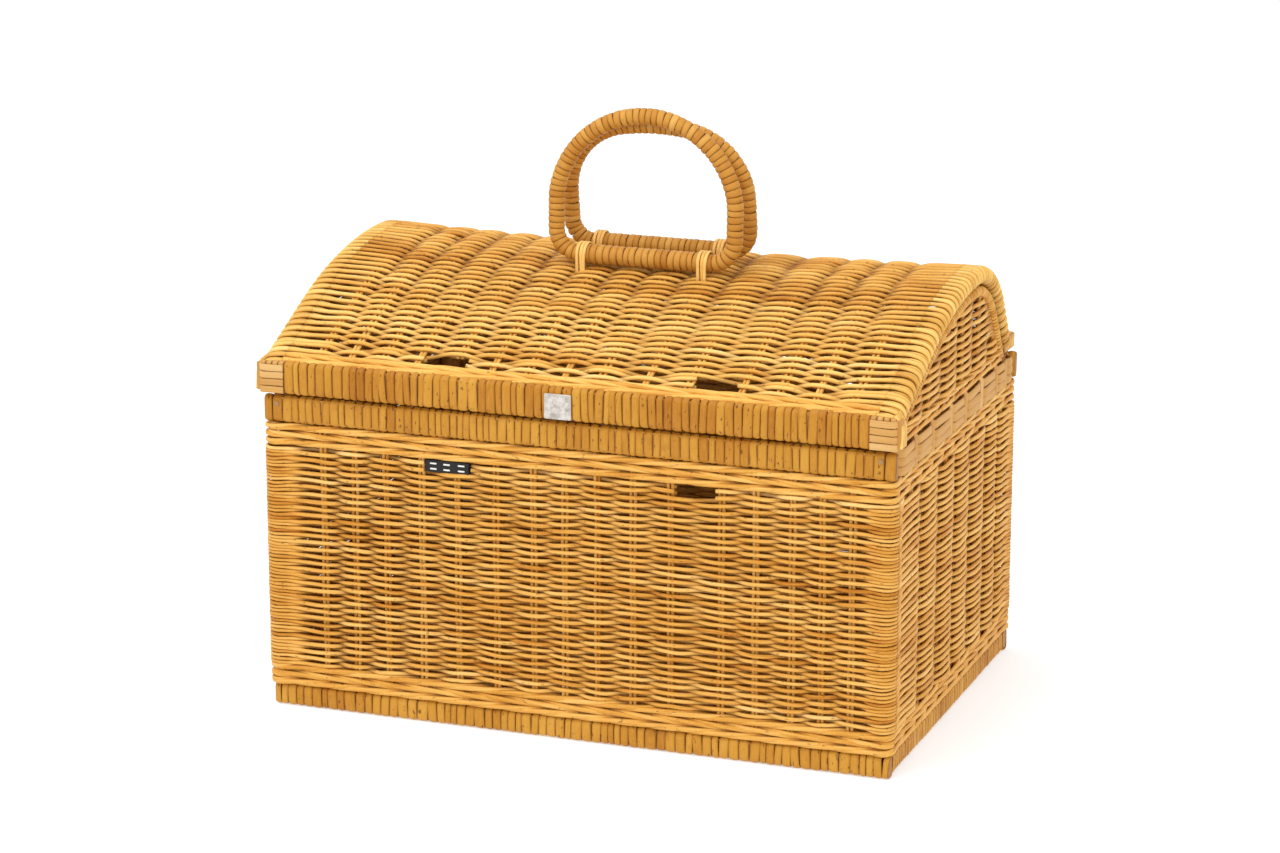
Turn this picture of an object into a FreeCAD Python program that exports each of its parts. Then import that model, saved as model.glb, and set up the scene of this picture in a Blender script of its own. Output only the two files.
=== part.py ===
import FreeCAD, Part
import Sketcher
import math
import os

# Wicker storage trunk with a barrel lid and two folding carry handles.
# Millimetres.  X runs along the trunk, Y from front (-) to back (+), Z up.
# The origin is the centre of the underside of the base frame, which is the
# face the trunk stands on.

V = FreeCAD.Vector
doc = FreeCAD.newDocument("wicker_trunk")

# ---------------------------------------------------------------- dimensions
SIZES = [
    ("len_x", 480.0),        # length over the rim and walls
    ("dep_y", 324.0),        # depth over the rim and walls
    ("wall_th", 8.0),        # woven wall: stake pair with a weaver each side
    ("corner_rad", 16.0),    # outer radius of the woven corners
    ("post_dia", 16.0),      # corner posts
    ("base_in", 2.0),        # base frame set in from the wall face
    ("base_th", 12.0),       # base rail thickness
    ("base_ht", 17.0),       # base rail height
    ("cane_th", 2.0),        # cane binding on base and lid rails
    ("rim_cane", 1.5),       # cane binding on the rim rails
    ("floor_bot", 5.0),
    ("floor_top", 11.0),
    ("wale_ht", 17.0),       # twined bands below and above the plain weave
    ("slot_bot", 192.0),     # strap slots in the front wall
    ("weave_top", 201.0),
    ("rim_bot", 218.0),
    ("rim_top", 238.5),
    ("strap_x0", -113.0),    # left slot, filled by the strap stub
    ("strap_x1", -79.0),
    ("slot_x0", 79.0),       # right slot, open
    ("slot_x1", 108.0),
    ("lid_bot", 240.5),      # underside of the closed lid
    ("lid_top", 265.0),      # top of the lid rails
    ("lid_over", 4.0),       # lid rail stands proud of the wall
    ("lid_rail", 12.0),      # lid rail thickness
    ("block_x", 222.0),      # inner face of the crossed-cane corner blocks
    ("lid_half", 246.0),     # half length over the rolled edges
    ("shell_half", 226.0),   # half length of the domed weave between the rolls
    ("dome_eave", 162.0),    # front foot of the dome, on the rail top
    ("front_ang", 24.5),     # slope of the lid above its front rail, degrees
    ("front_rad", 341.0),    # long flat curve from that slope to the crest
    ("crest_y", 47.0),       # the crest is behind the middle
    ("rear_rad", 80.0),      # short round curve behind the crest
    ("rear_ang", 58.0),      # fall of the lid to its rear rail, degrees
    ("rear_top", 252.5),     # top of the low rear rail
    ("rear_in", 136.0),      # its inner face
    ("rear_foot", 244.0),    # foot of the weave inside that face
    ("rear_half", 236.0),    # half length of the rear rail with its corners
    ("shell_th", 8.0),
    ("dome_sag", 4.5),       # the dome sags this much at mid length
    ("wale_run", 14.0),      # lid wale, measured up the slope
    ("slot_run", 10.0),      # lid slot, measured up the slope
    ("lslot_a0", -119.0),
    ("lslot_a1", -87.0),
    ("lslot_b0", 88.0),
    ("lslot_b1", 118.0),
    ("roll_rad", 7.0),       # rolled side edges of the lid
    ("roll_x", 236.0),
    ("rod_rad", 4.0),        # bent rods inside rolls and on the arched ends
    ("arch_drop", 19.0),     # arch rod centre below the lid's outer line
    ("arch_trim", 21.0),     # top of the arched end weave, below the same line
    ("end_gap", 0.6),        # arched ends stop short of the lid rails
    ("front_bar_y", -9.0),   # handle base bars
    ("front_bar_z", 327.0),
    ("rear_bar_y", 20.5),
    ("rear_bar_z", 330.0),
    ("bar_rad", 7.5),        # base bar over its cane binding
    ("grip_rad", 6.3),       # handle over its cane binding
    ("core_rad", 4.0),
    ("grip_half", 70.0),     # half width of the handle on its centre line
    ("grip_side", 40.0),     # height where the side turns into the arch
    ("grip_corner", 18.0),
    ("front_rise", 65.3),    # arch height above the sides, front handle
    ("rear_rise", 54.4),     # the rear handle is a little lower
    ("grip_bend", 53.0),     # bend radius at the handle's shoulders
    ("front_cx", -0.5),
    ("rear_cx", 1.7),
    ("front_lean", 1.9),     # degrees past upright, towards the other handle
    ("rear_lean", 8.1),
    ("tie_half", 47.5),      # lashings sit this far each side of the middle
    ("tie_wide", 8.0),
    ("tie_in", 7.8),
    ("tie_out", 9.2),
    ("front_tie_bot", 312.5),
    ("rear_tie_bot", 315.0),
    ("hinge_y", 169.0),      # hinge line behind the lid's rear rail
    ("hinge_z", 239.5),
    ("hinge_x", 150.0),      # outer hinges each side of the middle one
    ("pin_rad", 1.5),
    ("knuckle_rad", 2.6),
    ("eye_rad", 3.0),
    ("eye_hole", 1.56),
    ("knuckle_w", 8.5),
    ("leaf_th", 1.0),
    ("badge_x", -7.8),
    ("badge_w", 20.5),
    ("badge_h", 18.5),
    ("badge_z", 251.0),
    ("badge_t", 0.8),
    ("nail_x", 229.5),
    ("nail_z", 232.5),
    ("nail_rad", 0.8),
    ("nail_head", 1.8),
    ("strap_th", 2.2),
]

sheet = doc.addObject("Spreadsheet::Sheet", "Sizes")
for row, (alias, value) in enumerate(SIZES, start=1):
    sheet.set("A%d" % row, alias)
    sheet.set("B%d" % row, str(value))
    sheet.setAlias("B%d" % row, alias)
doc.recompute()


class Q(object):
    """A size: its present value and the expression that ties it to the sheet."""

    def __init__(self, value, text):
        self.v = float(value)
        self.s = text

    @staticmethod
    def of(x):
        return x if isinstance(x, Q) else Q(x, repr(float(x)))

    def __add__(self, o):
        o = Q.of(o)
        return Q(self.v + o.v, "(%s + %s)" % (self.s, o.s))

    __radd__ = __add__

    def __sub__(self, o):
        o = Q.of(o)
        return Q(self.v - o.v, "(%s - %s)" % (self.s, o.s))

    def __rsub__(self, o):
        return Q.of(o) - self

    def __mul__(self, o):
        o = Q.of(o)
        return Q(self.v * o.v, "(%s * %s)" % (self.s, o.s))

    __rmul__ = __mul__

    def __truediv__(self, o):
        o = Q.of(o)
        return Q(self.v / o.v, "(%s / %s)" % (self.s, o.s))

    def __neg__(self):
        return Q(-self.v, "(0 - %s)" % self.s)


def qsin(a):
    return Q(math.sin(math.radians(a.v)), "sin(%s)" % a.s)


def qcos(a):
    return Q(math.cos(math.radians(a.v)), "cos(%s)" % a.s)


def qtan(a):
    return Q(math.tan(math.radians(a.v)), "tan(%s)" % a.s)


class Bag(object):
    pass


S = Bag()
for alias, value in SIZES:
    setattr(S, alias, Q(sheet.get(alias), "Sizes.%s" % alias))

half_x = S.len_x / 2
half_y = S.dep_y / 2


# ------------------------------------------------------------------- helpers
def bind(obj, prop, q):
    obj.setExpression(prop, Q.of(q).s)


def box(name, x0, x1, y0, y1, z0, z1):
    x0, x1, y0, y1, z0, z1 = [Q.of(q) for q in (x0, x1, y0, y1, z0, z1)]
    b = doc.addObject("Part::Box", name)
    b.Label = name
    b.Length = (x1 - x0).v
    b.Width = (y1 - y0).v
    b.Height = (z1 - z0).v
    b.Placement = FreeCAD.Placement(V(x0.v, y0.v, z0.v), FreeCAD.Rotation())
    bind(b, "Length", x1 - x0)
    bind(b, "Width", y1 - y0)
    bind(b, "Height", z1 - z0)
    bind(b, "Placement.Base.x", x0)
    bind(b, "Placement.Base.y", y0)
    bind(b, "Placement.Base.z", z0)
    return b


def rod(name, x, y, z, radius, length, axis, angle):
    """A Part::Cylinder that starts at x, y, z and is turned about axis."""
    c = doc.addObject("Part::Cylinder", name)
    c.Label = name
    c.Radius = Q.of(radius).v
    c.Height = Q.of(length).v
    c.Placement = FreeCAD.Placement(V(Q.of(x).v, Q.of(y).v, Q.of(z).v),
                                    FreeCAD.Rotation(axis, angle))
    bind(c, "Radius", radius)
    bind(c, "Height", length)
    bind(c, "Placement.Base.x", x)
    bind(c, "Placement.Base.y", y)
    bind(c, "Placement.Base.z", z)
    return c


def cut(name, base, *tools):
    cur = base
    for i, tool in enumerate(tools):
        c = doc.addObject("Part::Cut", name if i == len(tools) - 1 else name + "_step%d" % i)
        c.Base = cur
        c.Tool = tool
        cur = c
    cur.Label = name
    return cur


def fuse(name, *parts):
    f = doc.addObject("Part::MultiFuse", name)
    f.Shapes = list(parts)
    f.Label = name
    return f


def group(name, *parts):
    c = doc.addObject("Part::Compound", name)
    c.Links = list(parts)
    c.Label = name
    return c


def new_body(name):
    b = doc.addObject("PartDesign::Body", name)
    b.Label = name
    return b


def plane(b, role):
    for f in b.Origin.OriginFeatures:
        if f.Role == role:
            return f
    raise RuntimeError("no plane " + role)


def sketch(b, name, role, offset):
    sk = b.newObject("Sketcher::SketchObject", name)
    sk.AttachmentSupport = [(plane(b, role), "")]
    sk.MapMode = "FlatFace"
    offset = Q.of(offset)
    sk.AttachmentOffset = FreeCAD.Placement(V(0, 0, offset.v), FreeCAD.Rotation())
    bind(sk, "AttachmentOffset.Base.z", offset)
    return sk


def fix_point(sk, geo, pos, x, y):
    """Pin a point of the sketch to coordinates bound to the sheet."""
    x, y = Q.of(x), Q.of(y)
    if abs(x.v) < 1e-9:
        sk.addConstraint(Sketcher.Constraint("PointOnObject", geo, pos, -2))
    else:
        i = sk.addConstraint(Sketcher.Constraint("DistanceX", -1, 1, geo, pos, x.v))
        sk.setExpression("Constraints[%d]" % i, x.s)
    if abs(y.v) < 1e-9:
        sk.addConstraint(Sketcher.Constraint("PointOnObject", geo, pos, -1))
    else:
        i = sk.addConstraint(Sketcher.Constraint("DistanceY", -1, 1, geo, pos, y.v))
        sk.setExpression("Constraints[%d]" % i, y.s)


def outline(sk, segs, closed=True):
    """Lines and arcs end to end.  Each entry is (x, y) for a line that starts
    there, or (x, y, radius, side) for an arc that starts there; side is +1
    where the arc turns left along the path and -1 where it turns right."""
    n = len(segs)
    ends = []
    count = n if closed else n - 1
    first = len(sk.Geometry)
    for i in range(count):
        a = segs[i]
        c = segs[(i + 1) % n]
        p = V(Q.of(a[0]).v, Q.of(a[1]).v, 0)
        q = V(Q.of(c[0]).v, Q.of(c[1]).v, 0)
        if len(a) == 2:
            sk.addGeometry(Part.LineSegment(p, q), False)
            ends.append((1, 2))
        else:
            r = Q.of(a[2]).v
            side = a[3]
            mid = (p + q) * 0.5
            ch = q - p
            h = math.sqrt(max(r * r - ch.Length * ch.Length / 4.0, 0.0))
            nrm = V(-ch.y, ch.x, 0)
            nrm.normalize()
            cen = mid + nrm * (h * side)
            a0 = math.atan2(p.y - cen.y, p.x - cen.x)
            a1 = math.atan2(q.y - cen.y, q.x - cen.x)
            circ = Part.Circle(cen, V(0, 0, 1), r)
            if side > 0:
                if a1 < a0:
                    a1 += 2 * math.pi
                sk.addGeometry(Part.ArcOfCircle(circ, a0, a1), False)
                ends.append((1, 2))
            else:
                if a0 < a1:
                    a0 += 2 * math.pi
                sk.addGeometry(Part.ArcOfCircle(circ, a1, a0), False)
                ends.append((2, 1))
    for i in range(count):
        j = (i + 1) % count
        if i == count - 1 and not closed:
            break
        sk.addConstraint(Sketcher.Constraint("Coincident", first + i, ends[i][1],
                                             first + j, ends[j][0]))
    for i in range(count):
        fix_point(sk, first + i, ends[i][0], segs[i][0], segs[i][1])
        if len(segs[i]) > 2:
            c = segs[(i + 1) % n]
            flat = abs(Q.of(c[1]).v - Q.of(segs[i][1]).v) < 1e-9
            wide = abs(Q.of(c[0]).v - Q.of(segs[i][0]).v)
            if flat and abs(wide - 2 * Q.of(segs[i][2]).v) < 1e-6:
                # a half circle: its centre is level with its ends
                k = sk.addConstraint(Sketcher.Constraint("DistanceY", -1, 1, first + i, 3,
                                                         Q.of(segs[i][1]).v))
                sk.setExpression("Constraints[%d]" % k, Q.of(segs[i][1]).s)
            else:
                k = sk.addConstraint(Sketcher.Constraint("Radius", first + i, Q.of(segs[i][2]).v))
                sk.setExpression("Constraints[%d]" % k, Q.of(segs[i][2]).s)
    if not closed:
        fix_point(sk, first + count - 1, ends[-1][1], segs[-1][0], segs[-1][1])


def prism(name, role, start, length, segs, body=None, tag=""):
    """Pad an outline, from start along the plane's normal for length."""
    b = body or new_body(name)
    sk = sketch(b, name + tag + "_outline", role, start)
    outline(sk, segs)
    doc.recompute()
    p = b.newObject("PartDesign::Pad", name + tag + "_pad")
    p.Profile = sk
    p.Length = Q.of(length).v
    bind(p, "Length", length)
    doc.recompute()
    return b


def rect(x0, x1, y0, y1):
    return [(x0, y0), (x1, y0), (x1, y1), (x0, y1)]


def round_edges(b, radius, want, tag="round"):
    """Fillet the edges of the tip whose middle satisfies want(point, direction)."""
    names = []
    for i, e in enumerate(b.Tip.Shape.Edges, start=1):
        if len(e.Vertexes) < 2:
            continue
        d = e.Vertexes[1].Point - e.Vertexes[0].Point
        m = (e.Vertexes[1].Point + e.Vertexes[0].Point) * 0.5
        if d.Length > 1e-6 and want(m, d.normalize()):
            names.append("Edge%d" % i)
    base = b.Tip
    f = b.newObject("PartDesign::Fillet", b.Name + "_" + tag)
    f.Base = (base, names)
    f.Radius = Q.of(radius).v
    bind(f, "Radius", radius)
    doc.recompute()
    return b


def pocket(b, role, start, length, segs, tag, reverse=False):
    before = b.Tip.Shape.Volume
    sk = sketch(b, b.Name + tag + "_outline", role, start)
    outline(sk, segs)
    doc.recompute()
    p = b.newObject("PartDesign::Pocket", b.Name + tag + "_pocket")
    p.Profile = sk
    p.Length = Q.of(length).v
    bind(p, "Length", length)
    p.Reversed = reverse
    doc.recompute()
    if not b.Tip.Shape.Volume < before - 1.0:
        raise RuntimeError("pocket %s took nothing away" % p.Name)
    return b


# ---------------------------------------------------------------- the profile
# The lid's outer line across its depth: a straight slope up from the front
# eave, a long flat curve to the crest, a short round one behind it and a steep
# straight fall to the rear rail, tangent where they meet.  Every piece that
# follows the dome is an inward offset of it.
sin_f, cos_f, tan_f = qsin(S.front_ang), qcos(S.front_ang), qtan(S.front_ang)
sin_r, cos_r, tan_r = qsin(S.rear_ang), qcos(S.rear_ang), qtan(S.rear_ang)
crest_z = (S.lid_top + (S.dome_eave + S.crest_y - S.front_rad * sin_f) * tan_f
           + S.front_rad * (1 - cos_f))


def front_tangent(off):
    return (S.crest_y - (S.front_rad - off) * sin_f,
            crest_z - S.front_rad + (S.front_rad - off) * cos_f)


def rear_tangent(off):
    return (S.crest_y + (S.rear_rad - off) * sin_r,
            crest_z - S.rear_rad + (S.rear_rad - off) * cos_r)


def front_at(y, off):
    """Height of the front slope, moved in by off, at distance y from the middle."""
    ty, tz = front_tangent(off)
    return tz - (ty - Q.of(y)) * tan_f


def rear_at(z, off):
    """How far back the rear slope, moved in by off, is at height z."""
    ty, tz = rear_tangent(off)
    return ty + (tz - Q.of(z)) / tan_r


# ------------------------------------------------------------------- the base
bx, by = half_x - S.base_in, half_y - S.base_in
fx, fy = bx - S.base_th + S.cane_th, by - S.base_th + S.cane_th
base_floor = box("base_floor", -fx, fx, -fy, fy, S.floor_bot, S.floor_top)

kept = {"base_floor": base_floor}


def upright(m, d):
    return abs(d.z) > 0.99


for side, sgn in (("front", -1), ("rear", 1)):
    lo, hi = (by - S.base_th + S.cane_th), (by - S.cane_th)
    y0, y1 = (-hi, -lo) if sgn < 0 else (lo, hi)
    lath = box("base_lath_" + side, -(bx - 8), bx - 8, y0, y1, S.cane_th, S.base_ht - S.cane_th)
    y0, y1 = (-by, -(by - S.base_th)) if sgn < 0 else (by - S.base_th, by)
    outer = prism("base_rail_" + side, "XY_Plane", 0, S.base_ht, rect(-bx, bx, y0, y1))
    round_edges(outer, 10.0, lambda m, d, s=sgn: upright(m, d) and m.y * s > by.v - 1)
    kept["base_lath_" + side] = lath
    kept["base_wrap_" + side] = cut("base_wrap_" + side, outer, lath, base_floor)

for side, sgn in (("left", -1), ("right", 1)):
    lo, hi = (bx - S.base_th + S.cane_th), (bx - S.cane_th)
    x0, x1 = (-hi, -lo) if sgn < 0 else (lo, hi)
    yy = by - S.base_th
    lath = box("base_lath_" + side, x0, x1, -yy, yy, S.cane_th, S.base_ht - S.cane_th)
    x0, x1 = (-bx, -(bx - S.base_th)) if sgn < 0 else (bx - S.base_th, bx)
    outer = prism("base_rail_" + side, "XY_Plane", 0, S.base_ht, rect(x0, x1, -yy, yy))
    kept["base_lath_" + side] = lath
    kept["base_wrap_" + side] = cut("base_wrap_" + side, outer, lath, base_floor)

# ------------------------------------------------------------------ the posts
post_x, post_y = half_x - S.corner_rad, half_y - S.corner_rad
for fb, sy in (("front", -1), ("rear", 1)):
    for lr, sx in (("left", -1), ("right", 1)):
        name = "corner_post_%s_%s" % (fb, lr)
        kept[name] = rod(name, post_x * sx, post_y * sy, S.base_ht, S.post_dia / 2,
                         S.rim_top - S.base_ht, V(0, 0, 1), 0)


# ------------------------------------------------------------------ the walls
def ring(name, z0, height):
    """A twined band all round, with round corners."""
    b = prism(name, "XY_Plane", z0, height, rect(-half_x, half_x, -half_y, half_y))
    round_edges(b, S.corner_rad, upright)
    t = S.wall_th
    ix, iy = half_x - t, half_y - t
    r = S.corner_rad - t
    segs = [(-ix + r, -iy), (ix - r, -iy, r, 1), (ix, -iy + r), (ix, iy - r, r, 1),
            (ix - r, iy), (-ix + r, iy, r, 1), (-ix, iy - r), (-ix, -iy + r, r, 1)]
    pocket(b, "XY_Plane", z0 + height, height, segs, "_inside")
    return b


def long_wall(name, sgn, z0, height):
    """A front or rear panel that turns both corners round the posts."""
    r, t = S.corner_rad, S.wall_th
    cx, cy = half_x - r, half_y - r
    if sgn < 0:
        segs = [(-half_x, -cy, r, 1), (-cx, -half_y), (cx, -half_y, r, 1), (half_x, -cy),
                (half_x - t, -cy, r - t, -1), (cx, -half_y + t), (-cx, -half_y + t, r - t, -1),
                (-half_x + t, -cy)]
    else:
        segs = [(half_x, cy, r, 1), (cx, half_y), (-cx, half_y, r, 1), (-half_x, cy),
                (-half_x + t, cy, r - t, -1), (-cx, half_y - t), (cx, half_y - t, r - t, -1),
                (half_x - t, cy)]
    return prism(name, "XY_Plane", z0, height, segs)


wale_top = S.base_ht + S.wale_ht
kept["lower_wale"] = ring("lower_wale", S.base_ht, S.wale_ht)
kept["upper_wale"] = ring("upper_wale", S.weave_top, S.rim_bot - S.weave_top)
kept["front_weave"] = long_wall("front_weave", -1, wale_top, S.slot_bot - wale_top)
kept["rear_weave"] = long_wall("rear_weave", 1, wale_top, S.weave_top - wale_top)
slot_band = long_wall("slot_band", -1, S.slot_bot, S.weave_top - S.slot_bot)
gap_a = box("strap_slot_gap", S.strap_x0, S.strap_x1, -half_y - 2, -half_y + S.wall_th + 2,
            S.slot_bot - 1, S.weave_top + 1)
gap_b = box("open_slot_gap", S.slot_x0, S.slot_x1, -half_y - 2, -half_y + S.wall_th + 2,
            S.slot_bot - 1, S.weave_top + 1)
kept["front_slot_rows"] = cut("front_slot_rows", slot_band, gap_a, gap_b)
for side, sgn in (("left", -1), ("right", 1)):
    x0, x1 = (-half_x, -half_x + S.wall_th) if sgn < 0 else (half_x - S.wall_th, half_x)
    kept[side + "_end_weave"] = prism(side + "_end_weave", "XY_Plane", wale_top,
                                      S.weave_top - wale_top, rect(x0, x1, -post_y, post_y))
    kept[side + "_splint_band"] = prism(side + "_splint_band", "XY_Plane", S.rim_bot,
                                        S.rim_top - S.rim_bot,
                                        rect(x0, x1, -(half_y - S.wall_th), half_y - S.wall_th))

# ------------------------------------------------------- rim rails and nails
nails = []
for i, sx in enumerate((-1, 1)):
    for j, sy in enumerate((-1, 1)):
        tag = "nail_%d%d" % (i, j)
        turn = 90 if sy < 0 else -90
        y_face = -half_y if sy < 0 else half_y
        y_head = y_face - S.badge_t if sy < 0 else y_face + S.badge_t
        shank = rod(tag + "_shank", S.nail_x * sx, y_face, S.nail_z, S.nail_rad, 6.0,
                    V(1, 0, 0), -turn)
        head = rod(tag + "_head", S.nail_x * sx, y_head, S.nail_z, S.nail_head, S.badge_t,
                   V(1, 0, 0), -turn)
        nails.append(fuse(tag, shank, head))
kept["rim_nails"] = group("rim_nails", *nails)
for side, sgn in (("front", -1), ("rear", 1)):
    t = S.wall_th
    y0, y1 = (-half_y, -half_y + t) if sgn < 0 else (half_y - t, half_y)
    outer = prism("rim_rail_" + side, "XY_Plane", S.rim_bot, S.rim_top - S.rim_bot,
                  rect(-half_x, half_x, y0, y1))
    round_edges(outer, S.wall_th - 0.5, lambda m, d, s=sgn: upright(m, d) and m.y * s > half_y.v - 1)
    core = box("rim_core_" + side, -(half_x - 9), half_x - 9, y0 + S.rim_cane, y1 - S.rim_cane,
               S.rim_bot + S.rim_cane, S.rim_top - S.rim_cane)
    slit = box("rim_slit_" + side, -(half_x - 24), half_x - 24, y0 + 2.5, y1 - 2.5,
               S.rim_bot - 1, S.rim_bot + 3)
    pair = group("nails_" + side, *[n for k, n in enumerate(nails) if (k % 2 == 0) == (sgn < 0)])
    kept["rim_lath_" + side] = cut("rim_lath_" + side, core, pair)
    kept["rim_wrap_" + side] = cut("rim_wrap_" + side, outer, core, slit, pair)

# ---------------------------------------------------------- the arched ends
ey = half_y - S.wall_th - S.end_gap


def arch_path(off, y0, z1):
    """The dome's line moved in by off, from y0 in front to height z1 at the rear."""
    return [(y0, front_at(y0, off)), front_tangent(off) + (S.front_rad - off, -1),
            (S.crest_y, crest_z - off, S.rear_rad - off, -1), rear_tangent(off),
            (rear_at(z1, off), z1)]


def arch_rod(name, x, off, y0, z1, radius):
    """A round rod bent to the dome, in the plane at x."""
    b = new_body(name)
    spine = sketch(b, name + "_line", "YZ_Plane", x)
    outline(spine, arch_path(off, y0, z1), closed=False)
    prof = b.newObject("Sketcher::SketchObject", name + "_section")
    prof.AttachmentSupport = [(plane(b, "XZ_Plane"), "")]
    prof.MapMode = "FlatFace"
    x, y0 = Q.of(x), Q.of(y0)
    zz = front_at(y0, off)
    prof.AttachmentOffset = FreeCAD.Placement(V(x.v, zz.v, -y0.v),
                                              FreeCAD.Rotation(V(1, 0, 0), S.front_ang.v))
    bind(prof, "AttachmentOffset.Base.x", x)
    bind(prof, "AttachmentOffset.Base.y", zz)
    bind(prof, "AttachmentOffset.Base.z", Q.of(0.0) - y0)
    bind(prof, "AttachmentOffset.Rotation.Angle", S.front_ang)
    r = Q.of(radius)
    prof.addGeometry(Part.Circle(V(0, 0, 0), V(0, 0, 1), r.v), False)
    prof.addConstraint(Sketcher.Constraint("Coincident", 0, 3, -1, 1))
    k = prof.addConstraint(Sketcher.Constraint("Radius", 0, r.v))
    prof.setExpression("Constraints[%d]" % k, r.s)
    doc.recompute()
    p = b.newObject("PartDesign::AdditivePipe", name + "_pipe")
    p.Profile = prof
    p.Spine = (spine, [])
    doc.recompute()
    return b


for side, sgn in (("left", -1), ("right", 1)):
    xc = (half_x - S.rod_rad) * sgn
    bar = arch_rod(side + "_arch_rod", xc, S.arch_drop, -ey + 2, S.rim_top + 2.5, S.rod_rad)
    kept[side + "_arch_rod"] = bar
    trim = S.arch_trim
    segs = [(-ey, S.rim_top), (rear_at(S.rim_top, trim), S.rim_top),
            rear_tangent(trim) + (S.rear_rad - trim, 1),
            (S.crest_y, crest_z - trim, S.front_rad - trim, 1), front_tangent(trim),
            (-ey, front_at(-ey, trim))]
    x0 = -half_x if sgn < 0 else half_x - S.wall_th
    plate = prism(side + "_arch_plate", "YZ_Plane", x0, S.wall_th, segs)
    kept[side + "_arch_weave"] = cut(side + "_arch_weave", plate, bar)

# ------------------------------------------------------------- the strap stub
# A short end of webbing: its sewn end fills the slot, and its tail hangs
# inside the front wall.
yo, yi, st = -half_y + 1.5, -half_y + S.wall_th + 0.1, S.strap_th
segs = [(yo, S.slot_bot + 0.2), (yo + st, S.slot_bot + 0.2), (yo + st, S.slot_bot + 3.4),
        (yi, S.slot_bot + 3.4), (yi, S.slot_bot - 27), (yi + st, S.slot_bot - 27),
        (yi + st, S.slot_bot + 5.6), (yo + st, S.slot_bot + 5.6), (yo + st, S.weave_top - 0.2),
        (yo, S.weave_top - 0.2)]
kept["strap_stub"] = prism("strap_stub", "YZ_Plane", S.strap_x0 + 0.5,
                           S.strap_x1 - S.strap_x0 - 1, segs)

# ------------------------------------------------------------------ lid rails
# The front rail is tall and narrow.  The rear one is low and wide, because the
# dome falls steeply and meets it well in front of the hinges.
ly = half_y + S.lid_over
for side, sgn in (("front", -1), ("rear", 1)):
    y0, y1 = (-ly, -ly + S.lid_rail) if sgn < 0 else (S.rear_in, ly)
    top = S.lid_top if sgn < 0 else S.rear_top
    half = S.lid_half if sgn < 0 else S.rear_half
    face = sgn * ly.v
    lath = box("lid_lath_" + side, -(half - 2), half - 2, y0 + S.cane_th,
               y1 - S.cane_th, S.lid_bot + S.cane_th, top - S.cane_th)
    kept["lid_lath_" + side] = lath

    def long_outer(m, d, f=face):
        return abs(d.x) > 0.99 and abs(m.y - f) < 0.01

    rail = prism("lid_rail_" + side, "YZ_Plane", -S.block_x, S.block_x * 2,
                 rect(y0, y1, S.lid_bot, top))
    round_edges(rail, 3.0, long_outer)
    kept["lid_wrap_" + side] = cut("lid_wrap_" + side, rail, lath)
    for lr, sx in (("left", -1), ("right", 1)):
        nm = "lid_corner_%s_%s" % (side, lr)
        x0 = -half if sx < 0 else S.block_x
        blk = prism(nm + "_solid", "YZ_Plane", x0, half - S.block_x,
                    rect(y0, y1, S.lid_bot, top))
        round_edges(blk, 3.0, lambda m, d, f=face, s=sx, h=half.v: (
            (abs(d.x) > 0.99 and abs(m.y - f) < 0.01)
            or (abs(d.z) > 0.99 and abs(m.y - f) < 0.01 and m.x * s > h - 1)))
        kept[nm] = cut(nm, blk, lath)

# ------------------------------------------------------------- the domed weave
# Points up the front slope, at distance run from the eave.
def slope(run, off=0.0):
    y = -S.dome_eave + run * cos_f + sin_f * off
    z = S.lid_top + run * sin_f - cos_f * off
    return y, z


run_a = S.wale_run
run_b = S.wale_run + S.slot_run
yin = -ly + S.lid_rail
zin = front_at(yin, S.shell_th)
wa, wai = slope(run_a), slope(run_a, S.shell_th)
wb, wbi = slope(run_b), slope(run_b, S.shell_th)
kept["lid_front_wale"] = prism("lid_front_wale", "YZ_Plane", -S.shell_half, S.shell_half * 2,
                               [(-S.dome_eave, S.lid_top), (yin, S.lid_top), (yin, zin), wai, wa])
rows = prism("lid_slot_band", "YZ_Plane", -S.shell_half, S.shell_half * 2, [wa, wai, wbi, wb])
lg_a = box("lid_slot_gap_a", S.lslot_a0, S.lslot_a1, -half_y, -half_y + 32, S.lid_bot + 10,
           S.lid_top + 30)
lg_b = box("lid_slot_gap_b", S.lslot_b0, S.lslot_b1, -half_y, -half_y + 32, S.lid_bot + 10,
           S.lid_top + 30)
kept["lid_slot_rows"] = cut("lid_slot_rows", rows, lg_a, lg_b)

# The main weave sags a little between its rolled edges, so it is lofted
# through five sections along X.
size = {alias: float(sheet.get(alias)) for alias, value in SIZES}
lead = (S.dome_eave.v + front_tangent(0)[0].v) / cos_f.v - run_b.v
bend_f = S.front_rad.v * math.radians(S.front_ang.v)
bend_r = S.rear_rad.v * math.radians(S.rear_ang.v)
tail = (rear_at(S.rear_top, 0).v - rear_tangent(0)[0].v) / cos_r.v
girth = lead + bend_f + bend_r + tail


def ease(t):
    t = min(max(t, 0.0), 1.0)
    return t * t * (3.0 - 2.0 * t)


def dome_point(x, t, off):
    """A point t along the dome's line from the slot rows, moved in by off, with the sag."""
    if t <= lead + bend_f:
        a = S.front_ang.v - math.degrees(max(t - lead, 0.0) / S.front_rad.v)
        a = math.radians(a)
        r = S.front_rad.v - off
        y, z = S.crest_y.v - r * math.sin(a), crest_z.v - S.front_rad.v + r * math.cos(a)
        back = max(lead - t, 0.0)
        y, z = y - back * math.cos(a), z - back * math.sin(a)
    else:
        a = min((t - lead - bend_f) / S.rear_rad.v, math.radians(S.rear_ang.v))
        r = S.rear_rad.v - off
        y, z = S.crest_y.v + r * math.sin(a), crest_z.v - S.rear_rad.v + r * math.cos(a)
        on = max(t - lead - bend_f - bend_r, 0.0)
        y, z = y + on * math.cos(a), z - on * math.sin(a)
    u = t / girth
    sag = size["dome_sag"] * ease(u / 0.3) * ease((1.0 - u) / 0.28)
    return V(x, y, z - sag * (1.0 - (x / size["shell_half"]) ** 2))


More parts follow.
